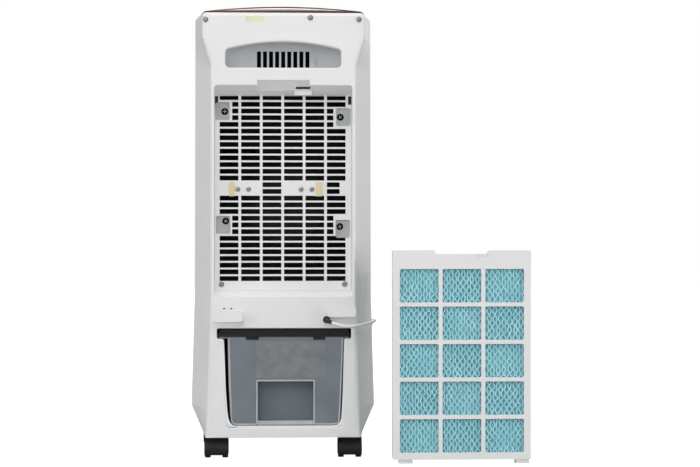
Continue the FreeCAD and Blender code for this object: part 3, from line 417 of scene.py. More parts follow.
def printedFilm(name, look):
    # thin PET film with an adhesive back: flat, semi-gloss, and never quite smooth
    material, tree, shader = startMaterial(name, {
        "IOR": 1.57, "Roughness": look["roughness"], "Transmission Weight": look["transmission"]})
    place = addNode(tree, "ShaderNodeTexCoord")
    cloud = addNode(tree, "ShaderNodeTexNoise", {
        "Vector": place.outputs["Object"], "Scale": 60.0, "Detail": 3.0})
    twoTone(tree, shader, cloud.outputs["Fac"], look, 0.35, 0.65)
    bump = addNode(tree, "ShaderNodeBump", {
        "Height": cloud.outputs["Fac"], "Strength": 0.3, "Distance": 0.0004})
    tree.links.new(bump.outputs["Normal"], shader.inputs["Normal"])
    return material


greyFilm = printedFilm("PET film, silver grey", {
    "light": "F0F0EF", "deep": "E4E4E4", "roughness": 0.35, "transmission": 0.0})
clearFilm = printedFilm("PET film, milky clear", {
    "light": "B3B8BC", "deep": "9FA5AB", "roughness": 0.25, "transmission": 0.45})
yellowPaper = printedFilm("Coated paper, pale yellow", {
    "light": "EDEECF", "deep": "E4E7BF", "roughness": 0.6, "transmission": 0.0})


def cellFoam():
    # open-cell polyurethane foam: matt, with cells of about 1.2 mm
    material, tree, shader = startMaterial("Polyurethane foam, beige", {"Roughness": 0.95, "IOR": 1.45})
    place = addNode(tree, "ShaderNodeTexCoord")
    cells = addNode(tree, "ShaderNodeTexVoronoi", {"Vector": place.outputs["Object"], "Scale": 1000 / 1.2})
    twoTone(tree, shader, cells.outputs["Distance"], {"deep": "D2BC85", "light": "EBDDB4"}, 0.0, 0.5)
    bump = addNode(tree, "ShaderNodeBump", {
        "Height": cells.outputs["Distance"], "Strength": 0.5, "Distance": 0.0005})
    tree.links.new(bump.outputs["Normal"], shader.inputs["Normal"])
    return material


beigeFoam = cellFoam()


def padFibre(name, look):
    # crinkled polyester: fine fibre lines along each strand, a little sheen, no gloss
    material, tree, shader = startMaterial(name, {
        "Roughness": 0.7, "IOR": 1.5, "Sheen Weight": look["sheen"], "Sheen Roughness": 0.5})
    place = addNode(tree, "ShaderNodeTexCoord")
    patch = addNode(tree, "ShaderNodeTexNoise",
                    {"Vector": place.outputs["Object"], "Scale": 1000 / look["patchMm"], "Detail": 3.0})
    twoTone(tree, shader, patch.outputs["Fac"], look)
    fibres = addNode(tree, "ShaderNodeTexNoise",
                     {"Vector": place.outputs["Object"], "Scale": 1000 / 0.6, "Detail": 2.0})
    bump = addNode(tree, "ShaderNodeBump", {
        "Height": fibres.outputs["Fac"], "Strength": 0.4, "Distance": 0.0003})
    tree.links.new(bump.outputs["Normal"], shader.inputs["Normal"])
    return material


blueFibre = padFibre("Crinkled polyester, pale blue", {
    "light": "B4E9F1", "deep": "98D9E4", "patchMm": 14, "sheen": 0.2})
tealFibre = padFibre("Felted polyester, deep teal", {
    "light": "98DAE4", "deep": "7EC0CE", "patchMm": 5, "sheen": 0.1})


def boardLacquer():
    # FR-4 board under green solder mask, with copper runs of 1 mm showing through
    material, tree, shader = startMaterial("Solder mask, green", {"Roughness": 0.3, "IOR": 1.55})
    place = addNode(tree, "ShaderNodeTexCoord")
    runs = addNode(tree, "ShaderNodeTexBrick", {
        "Vector": place.outputs["Object"], "Scale": 160.0, "Mortar Size": 0.06,
        "Color1": linear("1D5B33"), "Color2": linear("1F6337"), "Mortar": linear("3B8450")})
    tree.links.new(runs.outputs["Color"], shader.inputs["Base Color"])
    return material


greenBoard = boardLacquer()


# the small pilot lamps behind the panel, a cool white
coolLamp = startMaterial("LED lens, cool white", {
    "Roughness": 0.3, "Base Color": linear("DDEBF2"),
    "Emission Color": linear("BFE2F5"), "Emission Strength": 0.6})[0]
print("materials ready")


# the mains lead, its relief and its plug

cordLook = {
    "diameter": 0.0052,
    "length": 1.8,
    "coilCentre": (0.020, 0.232),
    "coilInner": 0.0202,      # centre line of the innermost turn
    "turnPitch": 0.00528,
    "turnsPerLayer": 3.15,
    "climb": 0.2,             # share of a turn spent climbing to the second layer
    "pointsPerTurn": 16,
    "reliefLength": 0.024,
    "reliefRadius": 0.0033,
}

cordRoute = [
    (0.0667, -0.1535, 0.2168), (0.0670, -0.1640, 0.2163), (0.0715, -0.1740, 0.2143),
    (0.0815, -0.1790, 0.2108), (0.0940, -0.1775, 0.2076), (0.1070, -0.1685, 0.2070),
    (0.1210, -0.1480, 0.2086), (0.1350, -0.1130, 0.2106), (0.1453, -0.0760, 0.2116),
    (0.1470, -0.0340, 0.2110), (0.1468, 0.0180, 0.2084), (0.1482, 0.0700, 0.2035),
    (0.1476, 0.1100, 0.1935), (0.1420, 0.1460, 0.1720), (0.1345, 0.1700, 0.1390),
    (0.1275, 0.1845, 0.1020), (0.1190, 0.1930, 0.0650), (0.1060, 0.1970, 0.0330),
    (0.0870, 0.1962, 0.0110), (0.0645, 0.1946, 0.0026), (0.0340, 0.1940, 0.0027),
]


def coilPoints(look):
    # two flat layers: the first winds inwards, climbs one diameter, and the second winds out again
    rise = look["diameter"] + 0.0001
    total = 2 * look["turnsPerLayer"] + look["climb"]
    outer = look["coilInner"] + look["turnPitch"] * look["turnsPerLayer"]
    step = 1 / look["pointsPerTurn"]
    swell = 1 / math.cos(math.pi * step)     # the spline cuts inside its control points
    points = []
    for index in range(round(total / step) + 1):
        turn = index * step
        if turn < look["turnsPerLayer"]:
            radius, height = outer - look["turnPitch"] * turn, 0
        elif turn < look["turnsPerLayer"] + look["climb"]:
            radius, height = look["coilInner"], (turn - look["turnsPerLayer"]) / look["climb"]
        else:
            past = turn - look["turnsPerLayer"] - look["climb"]
            radius, height = look["coilInner"] + look["turnPitch"] * past, 1
        angle = -math.pi / 2 - math.tau * turn
        points.append((look["coilCentre"][0] + swell * radius * math.cos(angle),
                       look["coilCentre"][1] + swell * radius * math.sin(angle),
                       look["diameter"] / 2 + 0.0001 + rise * height))
    return points


def curveObject(name, lines, depth, resolution=4, along=6):
    curve = bpy.data.curves.new(name, "CURVE")
    curve.dimensions = "3D"
    curve.bevel_depth = depth
    curve.bevel_resolution = resolution
    curve.resolution_u = along
    curve.use_fill_caps = True
    for points in lines:
        spline = curve.splines.new("NURBS")
        spline.points.add(len(points) - 1)
        for point, place in zip(spline.points, points):
            point.co = (*place, 1)
        spline.order_u = 3
        spline.use_endpoint_u = True
    return bpy.data.objects.new(name, curve)


def finishedMesh(holder):
    # what an object's bevel or modifiers give, as a mesh of its own; the object itself goes
    if holder.name not in scene.collection.objects:
        scene.collection.objects.link(holder)
    mesh = bpy.data.meshes.new_from_object(holder.evaluated_get(bpy.context.evaluated_depsgraph_get()))
    bpy.data.objects.remove(holder)
    return mesh


def smoothObject(name, mesh):
    # a new object that shades as one smooth skin
    mesh.name = name
    for face in mesh.polygons:
        face.use_smooth = True
    return bpy.data.objects.new(name, mesh)


def centreLine(lines, along=12):
    # the points that a smooth route passes through
    mesh = finishedMesh(curveObject("probe", lines, 0, 0, along))
    places = [vertex.co.copy() for vertex in mesh.vertices]
    bpy.data.meshes.remove(mesh)
    return places


def taperedSleeve(name, path, startRadius, endRadius, grooves):
    # a short sleeve that follows the lead and thins towards its end, with shallow relief rings
    curve = bpy.data.curves.new(name, "CURVE")
    curve.dimensions = "3D"
    curve.bevel_depth = 1.0
    curve.bevel_resolution = 4
    curve.use_fill_caps = True
    spline = curve.splines.new("POLY")
    spline.points.add(len(path) - 1)
    for index, (point, place) in enumerate(zip(spline.points, path)):
        share = index / (len(path) - 1)
        ring = 0.00025 * math.cos(share * grooves * math.tau) if share < 0.9 else 0
        point.co = (*place, 1)
        point.radius = startRadius + (endRadius - startRadius) * share + ring
    return smoothObject(name, finishedMesh(bpy.data.objects.new(name + "Line", curve)))


def stretchOf(places, length):
    # the first part of a line of points, up to a length
    kept, run = [places[0]], 0
    for place in places[1:]:
        run += (place - kept[-1]).length
        kept.append(place)
        if run >= length:
            return kept
    return kept


plugLook = {
    "tail": (0.037, 0.2694, 0.0074),
    "reliefLength": 0.022,
    "reliefRings": 5,
    "ringRadius": 0.0031,
    "ringGrowth": 0.0018,     # how much wider the rings are by the grip
    "bodyLength": 0.035,
    "bodyOverlap": 0.002,     # how far the relief reaches into the grip
    "width": 0.026,
    "height": 0.0138,
    "narrowing": (0.72, 0.86),
    "edge": 0.0042,
    "pinRadius": 0.00235,
    "pinLength": 0.019,
    "pinSpacing": 0.0186,
}


def makePlug(look):
    x, y, tailHeight = look["tail"]
    z = look["height"] / 2
    grip = x + look["reliefLength"] - look["bodyOverlap"]
    bm = bmesh.new()
    bmesh.ops.create_cube(bm, size=1)
    bmesh.ops.scale(bm, vec=(look["bodyLength"], look["width"], look["height"]), verts=bm.verts)
    # the grip narrows towards the lead
    for vert in bm.verts:
        if vert.co.x < 0:
            vert.co.y *= look["narrowing"][0]
            vert.co.z *= look["narrowing"][1]
    bmesh.ops.bevel(bm, geom=bm.edges[:], offset=look["edge"], offset_type="OFFSET", segments=4,
                    profile=0.5, affect="EDGES", material=-1)
    bmesh.ops.translate(bm, verts=bm.verts, vec=(grip + look["bodyLength"] / 2, y, z))
    body = pieceFromBmesh("plugGrip", bm, ivoryPvc, "housing", ("plug_body",))
    body.data.set_sharp_from_angle(angle=math.radians(50))

    # ribbed strain relief between the lead and the grip
    profile = [(0.0, 0.0), (0.0029, 0.0)]
    for ring in range(look["reliefRings"]):
        start = 0.001 + ring * (look["reliefLength"] - 0.002) / look["reliefRings"]
        swell = look["ringRadius"] + look["ringGrowth"] * ring / look["reliefRings"]
        profile += [(swell, start), (swell + 0.0003, start + 0.0024),
                    (swell - 0.0004, start + 0.0027), (swell - 0.0004, start + 0.0036)]
    profile += [(0.0052, look["reliefLength"]), (0.0, look["reliefLength"])]
    bm = bmesh.new()
    spinProfile(bm, profile)
    bmesh.ops.transform(bm, matrix=facing((x, y, tailHeight - 0.0005), (1, 0, 0)), verts=bm.verts)
    relief = pieceFromBmesh("plugRelief", bm, ivoryPvc, "housing")
    relief.data.set_sharp_from_angle(angle=math.radians(40))

    # two round contacts with rounded tips
    r, length = look["pinRadius"], look["pinLength"]
    pin = lathedMesh("pin", [(0, 0), (r, 0), (r, length - 0.0012), (r * 0.9, length - 0.0005),
                             (r * 0.5, length), (0, length)], 24)
    bm = bmesh.new()
    for side in (-1, 1):
        stamp(bm, pin, facing((grip + look["bodyLength"], y + side * look["pinSpacing"] / 2, z), (1, 0, 0)))
    pins = pieceFromBmesh("plugContacts", bm, nickelBrass, "housing", ("plug_pins",))
    pins.data.set_sharp_from_angle(angle=math.radians(50))
    return [body, relief, pins]


grommetLook = {
    "wall": -0.151,
    # radius and height along the hole's axis
    "profile": [(0.0040, -0.0001), (0.0040, 0.0022), (0.0044, 0.0026), (0.0050, 0.0025),
                (0.0054, 0.0018), (0.0055, 0.0008), (0.0055, -0.0001), (0.0040, -0.0001)],
}


def makeGrommet(look):
    # black grommet in the housing's wall, round at its rim
    low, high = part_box("cord_grommet")
    place = ((low.x + high.x) / 2, look["wall"], (low.z + high.z) / 2)
    bm = bmesh.new()
    spinProfile(bm, look["profile"], 40)
    bmesh.ops.transform(bm, verts=bm.verts, matrix=facing(place))
    return pieceFromBmesh("leadGrommet", bm, blackPolypropylene, "housing",
                          ("cord_grommet",))


def makeCord(look):
    route = cordRoute + coilPoints(look)
    tail = plugLook["tail"]
    route += [(tail[0] + ahead, tail[1], tail[2]) for ahead in (-0.010, 0, 0.004)]
    cord = placePiece(curveObject("powerLead", [route], look["diameter"] / 2), ivoryPvc,
                      "housing", ("power_cord", "cord_coil"))
    line = centreLine([route])
    sleeve = taperedSleeve("leadRelief", stretchOf(line, look["reliefLength"]),
                           look["reliefRadius"], look["diameter"] / 2 + 0.0002, 4)
    placePiece(sleeve, blackPolypropylene, "housing")
    pieces = [sleeve, makeGrommet(grommetLook)] + makePlug(plugLook)
    run = sum((b - a).length for a, b in zip(line, line[1:]))
    print("lead made, length", round(run, 3), "m")


makeCord(cordLook)


# housing

housingEdges = {
    # CAD node: (name, rounded edge in metres, material, slot)
    "rear_grille": ("intakeGrille", 0.0005, whiteAbs, "shell_white"),
    "top_trim": ("crownTrim", 0.0009, roseBronze, "trim_bronze"),
    "top_cover": ("crownCover", 0.0006, whiteAbs, "shell_white"),
    "cord_hooks": ("leadHooks", 0.0010, whiteAbs, "shell_white"),
    "water_spout": ("waterSpout", 0.0005, whiteAbs, "shell_white"),
    "outlet_frame": ("outletFrame", 0.0007, whiteAbs, "shell_white"),
    "control_panel": ("controlGlass", 0.0004, glossBlack, "panel_black"),
    "foam_strips": ("foamPads", 0.0004, beigeFoam, "foam_beige"),
    "tank_lid": ("tankLid", 0.0009, glossBlackAbs, "black_plastic"),
    "tank": ("tankDrawer", 0.0007, smokySan, "tank_smoke"),
    "cassette_frame": ("cassetteFrame", 0.0008, whiteAbs, "shell_white"),
    "cassette_back": ("cassetteBack", 0.0006, whiteAbs, "shell_white"),
    # the fan's housing takes the black with painted shade
    "blower_scroll": ("blowerScroll", 0.0006, shadedBlackPolypropylene, "black_plastic"),
    "water_pump": ("waterPump", 0.0008, blackPolypropylene, "black_plastic"),
    "fan_motor": ("fanMotor", 0.0010, drawnSteel, "motor_metal"),
    "swing_motor": ("swingMotor", 0.0005, drawnSteel, "motor_metal"),
    "control_board": ("controlBoard", 0.0003, greenBoard, "board_green"),
}
for node, (name, edge, material, slotName) in housingEdges.items():
    roundedCopy(node, name, edge, material)
for index in range(1, 6):
    roundedCopy(f"button_{index}", f"pushButton{index}", 0.0004, glossBlack)
    roundedCopy(f"vane_{index}", f"swingVane{index}", 0.0004, blackPolypropylene)
for index in range(1, 5):
    roundedCopy(f"louvre_{index}", f"tiltLouvre{index}", 0.0006, whiteAbs)
for corner in ("rear_left", "rear_right", "front_left", "front_right"):
    roundedCopy("caster_hood_" + corner, "casterHood." + corner, 0.0007, blackPolypropylene)
    roundedCopy("caster_wheels_" + corner, "casterWheels." + corner, 0.0005, blackNylon)


def paintedShadeAbs(look):
    # the same white ABS, greyed by painted shade inside a recess and behind the grille, where shade falls
    material = whiteAbs.copy()
    material.name = look["name"]
    tree = material.node_tree
    shader = next(node for node in tree.nodes if node.type == "BSDF_PRINCIPLED")
    ramp = shader.inputs["Base Color"].links[0].from_socket
    place = addNode(tree, "ShaderNodeTexCoord")
    axes = addNode(tree, "ShaderNodeSeparateXYZ", {"Vector": place.outputs["Object"]})
    deep = addNode(tree, "ShaderNodeMapRange", {
        "Value": axes.outputs["Y"], "From Min": look["mouth"], "From Max": look["floor"]})
    above = addNode(tree, "ShaderNodeMapRange", {
        "Value": axes.outputs["Z"], "From Min": look["low"] - 0.001, "From Max": look["low"]})
    across = addNode(tree, "ShaderNodeMath", {0: axes.outputs["X"]}, operation="ABSOLUTE")
    between = addNode(tree, "ShaderNodeMapRange", {
        "Value": across.outputs["Value"], "From Min": look["side"] + 0.001, "From Max": look["side"]})
    level = addNode(tree, "ShaderNodeMath",
                    {0: between.outputs["Result"], 1: above.outputs["Result"]}, operation="MULTIPLY")
    inside = addNode(tree, "ShaderNodeMath",
                     {0: deep.outputs["Result"], 1: level.outputs["Value"]}, operation="MULTIPLY")
    # painted shade: the white is multiplied by the zone's shade colour
    mix = addNode(tree, "ShaderNodeMix", {"Factor": inside.outputs["Value"]})
    mix.data_type = "RGBA"
    mix.blend_type = "MULTIPLY"
    tree.links.new(ramp, mix.inputs["A"])
    mix.inputs["B"].default_value = linear(look["shade"])
    tree.links.new(mix.outputs["Result"], shader.inputs["Base Color"])
    return material


# each zone of painted shade: from its mouth to its floor in Y, above its low edge, and no wider than its
# side
pocketShadeLook = {"name": "Moulded ABS, white, painted shade in handle pocket", "mouth": -0.1495, "floor": -0.135,
              "low": 0.6045, "side": 0.094, "shade": "DFE2E5"}
# painted shade on the housing's inside, dark behind the grille's slots
innerShadeLook = {"name": "Moulded ABS, white, painted shade inside", "mouth": 0.1490, "floor": 0.1480,
             "low": 0.20, "side": 0.118, "shade": "4A4A48"}

# CAD nodes that are shown as they are
keptNodes = {
    "rear_shell": paintedShadeAbs(pocketShadeLook), "front_shell": paintedShadeAbs(innerShadeLook),
    "base_pan": whiteAbs, "bay_liner": whiteAbs,
    "rating_label": greyFilm, "tank_label": clearFilm, "seal_sticker": yellowPaper,
    "blower_wheel": blackPolypropylene, "motor_shaft": groundSteel, "pump_hose": greySilicone,
}
for node, material in keptNodes.items():
    nodes[node].data.materials.clear()
    nodes[node].data.materials.append(material)
print("rounded copies made")


# pale moulded beads round the tank's front and its pull, and the pale strips below

edgeLook = {
    "bead": 0.0011,
    "pullBead": 0.0013,
    "front": -0.1462,
    "low": 0.0553,
    "waist": 0.12,
    "high": 0.1880,
    "corner": 0.011,          # radius that the beads turn by at the lower corners
    # side: (piece, X at the foot, X at the top, X where the bead ends at the pull)
    "sides": {
        -1: ("tankEdgeLeft", -0.0802, -0.0838, -0.0420),
        1: ("tankEdgeRight", 0.0868, 0.0916, 0.0490),
    },
    "flange": [(-0.0834, 0.1880), (-0.0820, 0.12), (-0.0798, 0.077), (-0.0790, 0.066)],
    "flangeWidth": 0.0024,
    "flangeThickness": 0.0012,
    "pull": (-0.0408, 0.0478, 0.1226),    # left, right and top of the pull's opening
    "pullCorner": 0.003,
    # size and centre of the pull's foot and of the housing's sill
    "foot": ((0.0866, 0.0030, 0.0065), (0.0035, -0.1444, 0.05745)),
    "sill": ((0.1640, 0.0034, 0.0030), (0.0020, -0.1476, 0.0519)),
}

# outer and inner edge of the bay's lip, as (X, Z), on the left and on the right
lipLook = {
    "front": -0.1478,
    "thickness": 0.003,
    "sides": [
        ([(-0.0936, 0.1860), (-0.0904, 0.1100), (-0.0886, 0.0640), (-0.0884, 0.0580),
          (-0.0872, 0.0530), (-0.0840, 0.0510), (-0.0740, 0.0503)],
         [(-0.0914, 0.1860), (-0.0886, 0.1100), (-0.0862, 0.0760), (-0.0843, 0.0640),
          (-0.0818, 0.0580), (-0.0778, 0.0543), (-0.0700, 0.0531)]),
        ([(0.0955, 0.1860), (0.0936, 0.1100), (0.0926, 0.0640), (0.0922, 0.0580),
          (0.0908, 0.0530), (0.0876, 0.0510), (0.0780, 0.0503)],
         [(0.0940, 0.1860), (0.0921, 0.1100), (0.0904, 0.0740), (0.0896, 0.0640),
          (0.0872, 0.0580), (0.0834, 0.0543), (0.0760, 0.0531)]),
    ],
}

frostedEdge = mouldedPlastic("Moulded SAN, frosted edge", {
    "light": "C3C8CC", "deep": "B4BABF", "ior": 1.57, "roughness": 0.35,
    "flowMm": 25, "grainMm": 1.0, "grainStrength": 0.05, "grainDepthMm": 0.03})


def beadPiece(name, line, radius):
    mesh = finishedMesh(curveObject(name + "Line", [line], radius, 3, 8))
    return placePiece(smoothObject(name, mesh), frostedEdge, "tank_drawer")


def makeTankEdges(look):
    y, low, high, corner = look["front"], look["low"], look["high"], look["corner"]
    # a bead down each edge of the drawer and round its lower corner
    for side, (name, foot, top, end) in look["sides"].items():
        outline = [(top, y, high), (top * 0.5 + foot * 0.5, y, look["waist"]), (foot, y, low + 2 * corner),
                   (foot - side * 0.0004, y, low + corner * 0.6),
                   (foot - side * corner * 0.15, y, low + corner * 0.15),
                   (foot - side * corner * 0.6, y, low), (foot - side * 2 * corner, y, low), (end, y, low)]
        beadPiece(name, outline, look["bead"])
    # the flange that stands out at the drawer's left edge
    bm = bmesh.new()
    ribbon(bm, [(x, y, z) for x, z in look["flange"]],
           [(x - look["flangeWidth"], y, z) for x, z in look["flange"]])
    thickPiece("tankFlange", bm, look["flangeThickness"], frostedEdge, "tank_drawer")
    # the bead round the pull's opening
    left, right, top = look["pull"]
    r, middle = look["pullCorner"], (look["pull"][0] + look["pull"][1]) / 2
    beadPiece("pullRim", [(left, y, low), (left, y, 0.09), (left, y, top - 0.0001 - r), (left, y, top),
                          (left + r, y, top), (middle, y, top), (right - r, y, top), (right, y, top),
                          (right, y, top - 0.0001 - r), (right, y, 0.09), (right, y, low)],
              look["pullBead"])
    # the foot of the pull, a pale strip across its opening, and the housing's sill under the tank
    softBox("pullFoot", *look["foot"], 0.0008, frostedEdge, "tank_drawer", "tank_smoke")
    softBox("baySill", *look["sill"], 0.0007, whiteAbs, "housing", "shell_white")


def makeBayLip(look):
    # the opening's inner lip, which closes in on the tank at its sides and lower corners
    bm = bmesh.new()
    for outer, inner in look["sides"]:
        ribbon(bm, *([(x, look["front"], z) for x, z in edge] for edge in (outer, inner)))
    thickPiece("bayLip", bm, look["thickness"], whiteAbs, "housing")


makeTankEdges(edgeLook)
makeBayLip(lipLook)


# two small moulded vents above the left lead hook, drawn as flat dark discs: painted shade of their insides
pinLook = {"radius": 0.0013, "wall": -0.151, "places": [(-0.0913, 0.2342), (-0.0802, 0.2342)]}


def makePinHoles(look):
    r = look["radius"]
    profile = [(0, -0.0004), (r, -0.0004), (r, 0.0001), (r * 0.6, 0.00012), (0, 0.00004)]
    hole = lathedMesh("hole", profile, 20)
    bm = bmesh.new()
    for x, z in look["places"]:
        stamp(bm, hole, facing((x, look["wall"], z)))
    pieceFromBmesh("pinHoleShadeDiscs", bm, shadedBlackPolypropylene, "housing")


makePinHoles(pinLook)


# the cassette's window corners, drawn in to a soft round

windowLook = {
    "columns": 3,
    "rows": 5,
    "width": 0.0591,
    "height": 0.0508,
    "columnPitch": 0.065,
    "rowPitch": 0.057,
    "belowTop": 0.0283,
    "corner": 0.0030,
    "steps": 5,
    "lap": 0.0004,            # how far the fill reaches into the bars
    "inset": 0.0003,
    "depth": 0.0024,
}


def cornerFill(bm, look, corner, across, up):
    # one hollow-curved wedge in a window's corner
    r, lap = look["corner"], look["lap"]
    turns = [math.pi / 2 * step / look["steps"] for step in range(look["steps"], -1, -1)]
    curve = [(-r + r * math.cos(a), -r + r * math.sin(a)) for a in turns]
    outline = [(lap, lap), (-r, lap)] + curve + [(lap, -r)]
    x, y, z = corner
    verts = [bm.verts.new((x + across * u, y, z + up * v)) for u, v in outline]
    made = bmesh.ops.extrude_face_region(bm, geom=[bm.faces.new(verts)])["geom"]
    moved = [item for item in made if isinstance(item, bmesh.types.BMVert)]
    bmesh.ops.translate(bm, vec=(0, look["depth"], 0), verts=moved)


def makeWindowCorners(look):
    low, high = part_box("cassette_frame")
    y = low.y + look["inset"]
    bm = bmesh.new()
    for column in range(look["columns"]):
        x = (low.x + high.x) / 2 + (column - (look["columns"] - 1) / 2) * look["columnPitch"]
        for row in range(look["rows"]):
            z = high.z - look["belowTop"] - row * look["rowPitch"]
            for side in (-1, 1):
                at = x + side * look["width"] / 2
                cornerFill(bm, look, (at, y, z), side, 1)
                cornerFill(bm, look, (at, y, z - look["height"]), side, -1)
    bmesh.ops.recalc_face_normals(bm, faces=bm.faces)
    pieceFromBmesh("windowCorners", bm, whiteAbs, "cassette")


makeWindowCorners(windowLook)


# bright insert of the crown trim

crownLook = {"rise": 0.008, "half": 0.128, "top": 0.7005}
insertLook = {"halfWidth": 0.103, "low": 0.6942, "topGap": 0.0020, "wall": 0.146, "proud": 0.0004,
              "pieces": 72}


def crownHeight(x):
    # the arch of the crown at a distance from the middle
    rise, half = crownLook["rise"], crownLook["half"]
    radius = (half ** 2 + rise ** 2) / (2 * rise)
    return crownLook["top"] - radius + math.sqrt(radius ** 2 - x ** 2)


def makeInsert(look):
    # a flat strip bent to the arch, then thickened by solidify
    bm = bmesh.new()
    for side in (-1, 1):
        grid = bmesh.ops.create_grid(bm, x_segments=look["pieces"], y_segments=1, size=0.5)["verts"]
        for vert in grid:
            x = vert.co.x * 2 * look["halfWidth"]
            top = max(crownHeight(x) - look["topGap"], look["low"] + 0.0002)
            height = top if vert.co.y > 0 else look["low"]
            vert.co = (x, side * (look["wall"] + look["proud"]), height)
    bmesh.ops.recalc_face_normals(bm, faces=bm.faces)
    piece = pieceFromBmesh("crownInsert", bm, silverInsert, "housing")
    thick = piece.modifiers.new("thickness", "SOLIDIFY")
    thick.thickness = 2 * look["proud"]
    thick.offset = 0


makeInsert(insertLook)


# screws

screwLook = {
    "caseRadius": 0.0038,
    "pocketRadius": 0.0054,
    "height": 0.0016,
    # cross recess, sized for a head of recessHead and scaled with the head's radius
    "recessHead": 0.0042,
    "recessLength": 0.0050,
    "recessWidth": 0.0011,
    "recessDepth": 0.0011,
    "rim": 0.0005,
    "rimHeight": 0.0013,
    "turn": 37,               # degrees from one head's cross to the next
}


def screwHead(radius, look):
    # pan head with a cross recess
    h, scale = look["height"], radius / look["recessHead"]
    head = bpy.data.objects.new("head", lathedMesh("head", [
        (0, -0.0001), (radius, -0.0001), (radius, h * 0.35), (radius * 0.93, h * 0.72),
        (radius * 0.72, h * 0.95), (0, h)], 36))
    cutter = bmesh.new()
    for turn in (0, 1):
        made = bmesh.ops.create_cube(cutter, size=1)["verts"]
        bmesh.ops.scale(cutter, vec=(look["recessLength"] * scale, look["recessWidth"] * scale,
                                     2 * look["recessDepth"]), verts=made)
        bmesh.ops.rotate(cutter, cent=(0, 0, 0), verts=made,
                         matrix=Matrix.Rotation(turn * math.pi / 2, 3, "Z"))
    bmesh.ops.translate(cutter, vec=(0, 0, h), verts=cutter.verts)
    crossMesh = bpy.data.meshes.new("cross")
    cutter.to_mesh(crossMesh)
    cutter.free()
    cross = bpy.data.objects.new("cross", crossMesh)
    for item in (head, cross):
        scene.collection.objects.link(item)
    cut = head.modifiers.new("cross", "BOOLEAN")
    cut.object = cross
    cut.solver = "EXACT"
    cut.use_self = True
    result = finishedMesh(head)
    bpy.data.objects.remove(cross)
    return result


def makeScrews(name, places, radius, look, node, steel):
    head = screwHead(radius, look)
    bm = bmesh.new()
    for index, place in enumerate(places):
        turn = Matrix.Rotation(math.radians(look["turn"] * index), 4, "Z")
        stamp(bm, head, facing(place) @ turn)
    piece = pieceFromBmesh(name, bm, steel, "housing", (node,))
    piece.data.set_sharp_from_angle(angle=math.radians(35))


def makeScrewShadowRings(places, radius, look):
    # a dark ring round each head: painted shadow of the counterbore it sits in
    inside, outside, h = radius - look["rim"], radius + 0.0002, look["rimHeight"]
    ring = lathedMesh("ring", [(inside, 0), (outside, 0), (outside, h), (inside, h), (inside, 0)], 36)
    bm = bmesh.new()
    for place in places:
        stamp(bm, ring, facing(place))
    pieceFromBmesh("screwShadowRings", bm, paintedShadowZinc, "housing")


crownScrews = [(-0.120, -0.150, 0.6801), (0.0419, -0.150, 0.6833), (0.117, -0.150, 0.681)]
bandScrews = [(x, -0.121, 0.419) for x in (-0.0705, -0.0538, 0.028, 0.0447)]
footScrews = [(x, -0.121, 0.271) for x in (-0.096, 0.096)]
pocketScrews = [(-0.091, -0.1175, 0.5401), (0.0891, -0.1175, 0.5315),
                (-0.0895, -0.1175, 0.3694), (0.0884, -0.1175, 0.3609)]
makeScrews("caseScrewHeads", crownScrews + bandScrews + footScrews, screwLook["caseRadius"], screwLook,
           "case_screws", zincSteel)
makeScrewShadowRings(crownScrews + footScrews, screwLook["caseRadius"], screwLook)
# the pocket screws' black heads are as wide as the dark holes round them: painted shade
makeScrews("pocketScrewHeads", pocketScrews, screwLook["pocketRadius"], screwLook,
           "pocket_screws", paintedShadeSteel)


# grey plates in the four pockets of the grille

plateLook = {
    "width": 0.0222,
    "height": 0.0276,
    "thickness": 0.0006,
    "corner": 0.003,
    "floor": -0.1175,         # the pockets' floor in Y
    "centres": [(-0.0946, 0.5406), (0.0940, 0.5315), (-0.0935, 0.3635), (0.0930, 0.3572)],
}


def makePocketPlates(look):
    bm = bmesh.new()
    for x, z in look["centres"]:
        made = bmesh.ops.create_cube(bm, size=1)["verts"]
        bmesh.ops.scale(bm, vec=(look["width"], look["thickness"], look["height"]), verts=made)
        bmesh.ops.translate(bm, vec=(x, look["floor"] - look["thickness"] / 2, z), verts=made)
    upright = [e for e in bm.edges if abs((e.verts[0].co - e.verts[1].co).y) > look["thickness"] * 0.9]
    bmesh.ops.bevel(bm, geom=upright, offset=look["corner"], offset_type="OFFSET", segments=5, profile=0.5,
                    affect="EDGES", material=-1)
    pieceFromBmesh("pocketPlates", bm, greyAbs, "housing", smooth=False)


makePocketPlates(plateLook)


# black sheets at the bottom of the two upright slots in the grille's top corners: painted shade of the
# slots' depth

cornerSlotLook = {"centre": 0.1037, "width": 0.0050, "low": 0.551, "high": 0.564, "depth": -0.1166,
                  "thickness": 0.0008}


def makeCornerSlots(look):
    bm = bmesh.new()
    middle = (look["high"] + look["low"]) / 2
    for side in (-1, 1):
        made = bmesh.ops.create_grid(bm, x_segments=2, y_segments=4, size=0.5)["verts"]
        bmesh.ops.rotate(bm, cent=(0, 0, 0), matrix=Matrix.Rotation(math.pi / 2, 3, "X"), verts=made)
        bmesh.ops.scale(bm, vec=(look["width"], 1, look["high"] - look["low"]), verts=made)
        bmesh.ops.translate(bm, vec=(side * look["centre"], look["depth"], middle), verts=made)
    bmesh.ops.recalc_face_normals(bm, faces=bm.faces)
    piece = pieceFromBmesh("cornerSlotShadeSheets", bm, blackPolypropylene, "housing")
    thick = piece.modifiers.new("thickness", "SOLIDIFY")
    thick.thickness = look["thickness"]
    thick.offset = 0


makeCornerSlots(cornerSlotLook)
print("screws and pocket plates made")


# wet pad: crinkled strands in two faces over a felted core

padLook = {
    "strandPitch": 0.0044,
    "wave": 0.0024,
    "cellHeight": 0.0120,
    "strandRadius": 0.00135,
    "faceDepth": 0.0017,
    "jitter": 0.0012,
    "coreThickness": 0.0090,
    "coreSwell": 0.0006,
    "clearance": 0.001,       # above and below the strands
}


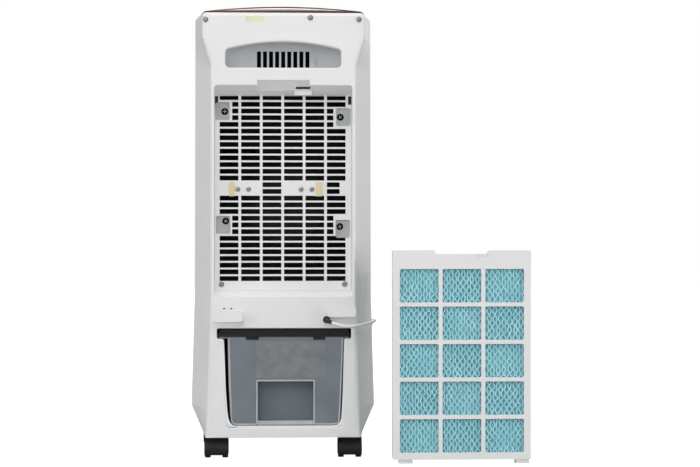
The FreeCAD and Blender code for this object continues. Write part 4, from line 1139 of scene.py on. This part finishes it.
def makePad(look):
    low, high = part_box("evaporative_pad")
    chance = random.Random(11)
    margin = look["wave"] + look["strandRadius"] + look["jitter"]
    count = int((high.x - low.x - 2 * margin) / look["strandPitch"])
    half = look["cellHeight"] / 2
    foot, head = low.z + look["clearance"], high.z - look["clearance"]
    rows = int((high.z - low.z - 2 * look["clearance"]) / half)
    faces = {"padStrandsOuter": low.y + look["faceDepth"], "padStrandsInner": high.y - look["faceDepth"]}
    for name, depth in faces.items():
        lines = []
        drift = 0
        for strand in range(count + 1):
            x = low.x + margin + strand * (high.x - low.x - 2 * margin) / count
            drift += chance.uniform(-0.12, 0.12) * half
            drift = max(-0.8 * half, min(0.8 * half, drift))
            points = []
            for row in range(rows + 1):
                side = 1 if (strand + row) % 2 else -1
                height = foot + row * half + drift * math.sin(math.pi * row / rows)
                across = x + side * look["wave"] + chance.uniform(-1, 1) * look["jitter"]
                inward = depth + chance.uniform(-0.2, 0.2) * look["faceDepth"]
                height += chance.uniform(-1, 1) * look["jitter"]
                points.append((across, inward, min(max(height, foot), head)))
            lines.append(points)
        mesh = finishedMesh(curveObject(name + "Lines", lines, look["strandRadius"], 1, 3))
        replaced = ("evaporative_pad",) if name == "padStrandsOuter" else ()
        placePiece(smoothObject(name, mesh), blueFibre, "cassette", replaced)

    # the felted core between them, lightly quilted
    bm = bmesh.new()
    bmesh.ops.create_cube(bm, size=1)
    bmesh.ops.scale(bm, vec=(high.x - low.x, look["coreThickness"], high.z - low.z), verts=bm.verts)
    bmesh.ops.translate(bm, vec=(low + high) / 2, verts=bm.verts)
    bmesh.ops.subdivide_edges(bm, edges=bm.edges[:], cuts=30, use_grid_fill=True)
    for vert in bm.verts:
        vert.co.y += look["coreSwell"] * math.sin(vert.co.x * 900) * math.sin(vert.co.z * 700)
    pieceFromBmesh("padCore", bm, tealFibre, "cassette")


makePad(padLook)
print("wet pad made")


# pilot lamps beside the buttons

lampLook = {"count": 5, "pitch": 0.026, "radius": 0.0011, "flatness": 0.25, "row": 0.0755, "proud": 0.0001}


def makeLamps(look):
    bm = bmesh.new()
    for index in range(look["count"]):
        x = (index - (look["count"] - 1) / 2) * look["pitch"]
        made = bmesh.ops.create_uvsphere(bm, u_segments=16, v_segments=8, radius=look["radius"])["verts"]
        bmesh.ops.scale(bm, vec=(1, 1, look["flatness"]), verts=made)
        bmesh.ops.translate(bm, vec=(x, look["row"], crownHeight(x) + look["proud"]), verts=made)
    pieceFromBmesh("pilotLamps", bm, coolLamp, "housing")


makeLamps(lampLook)
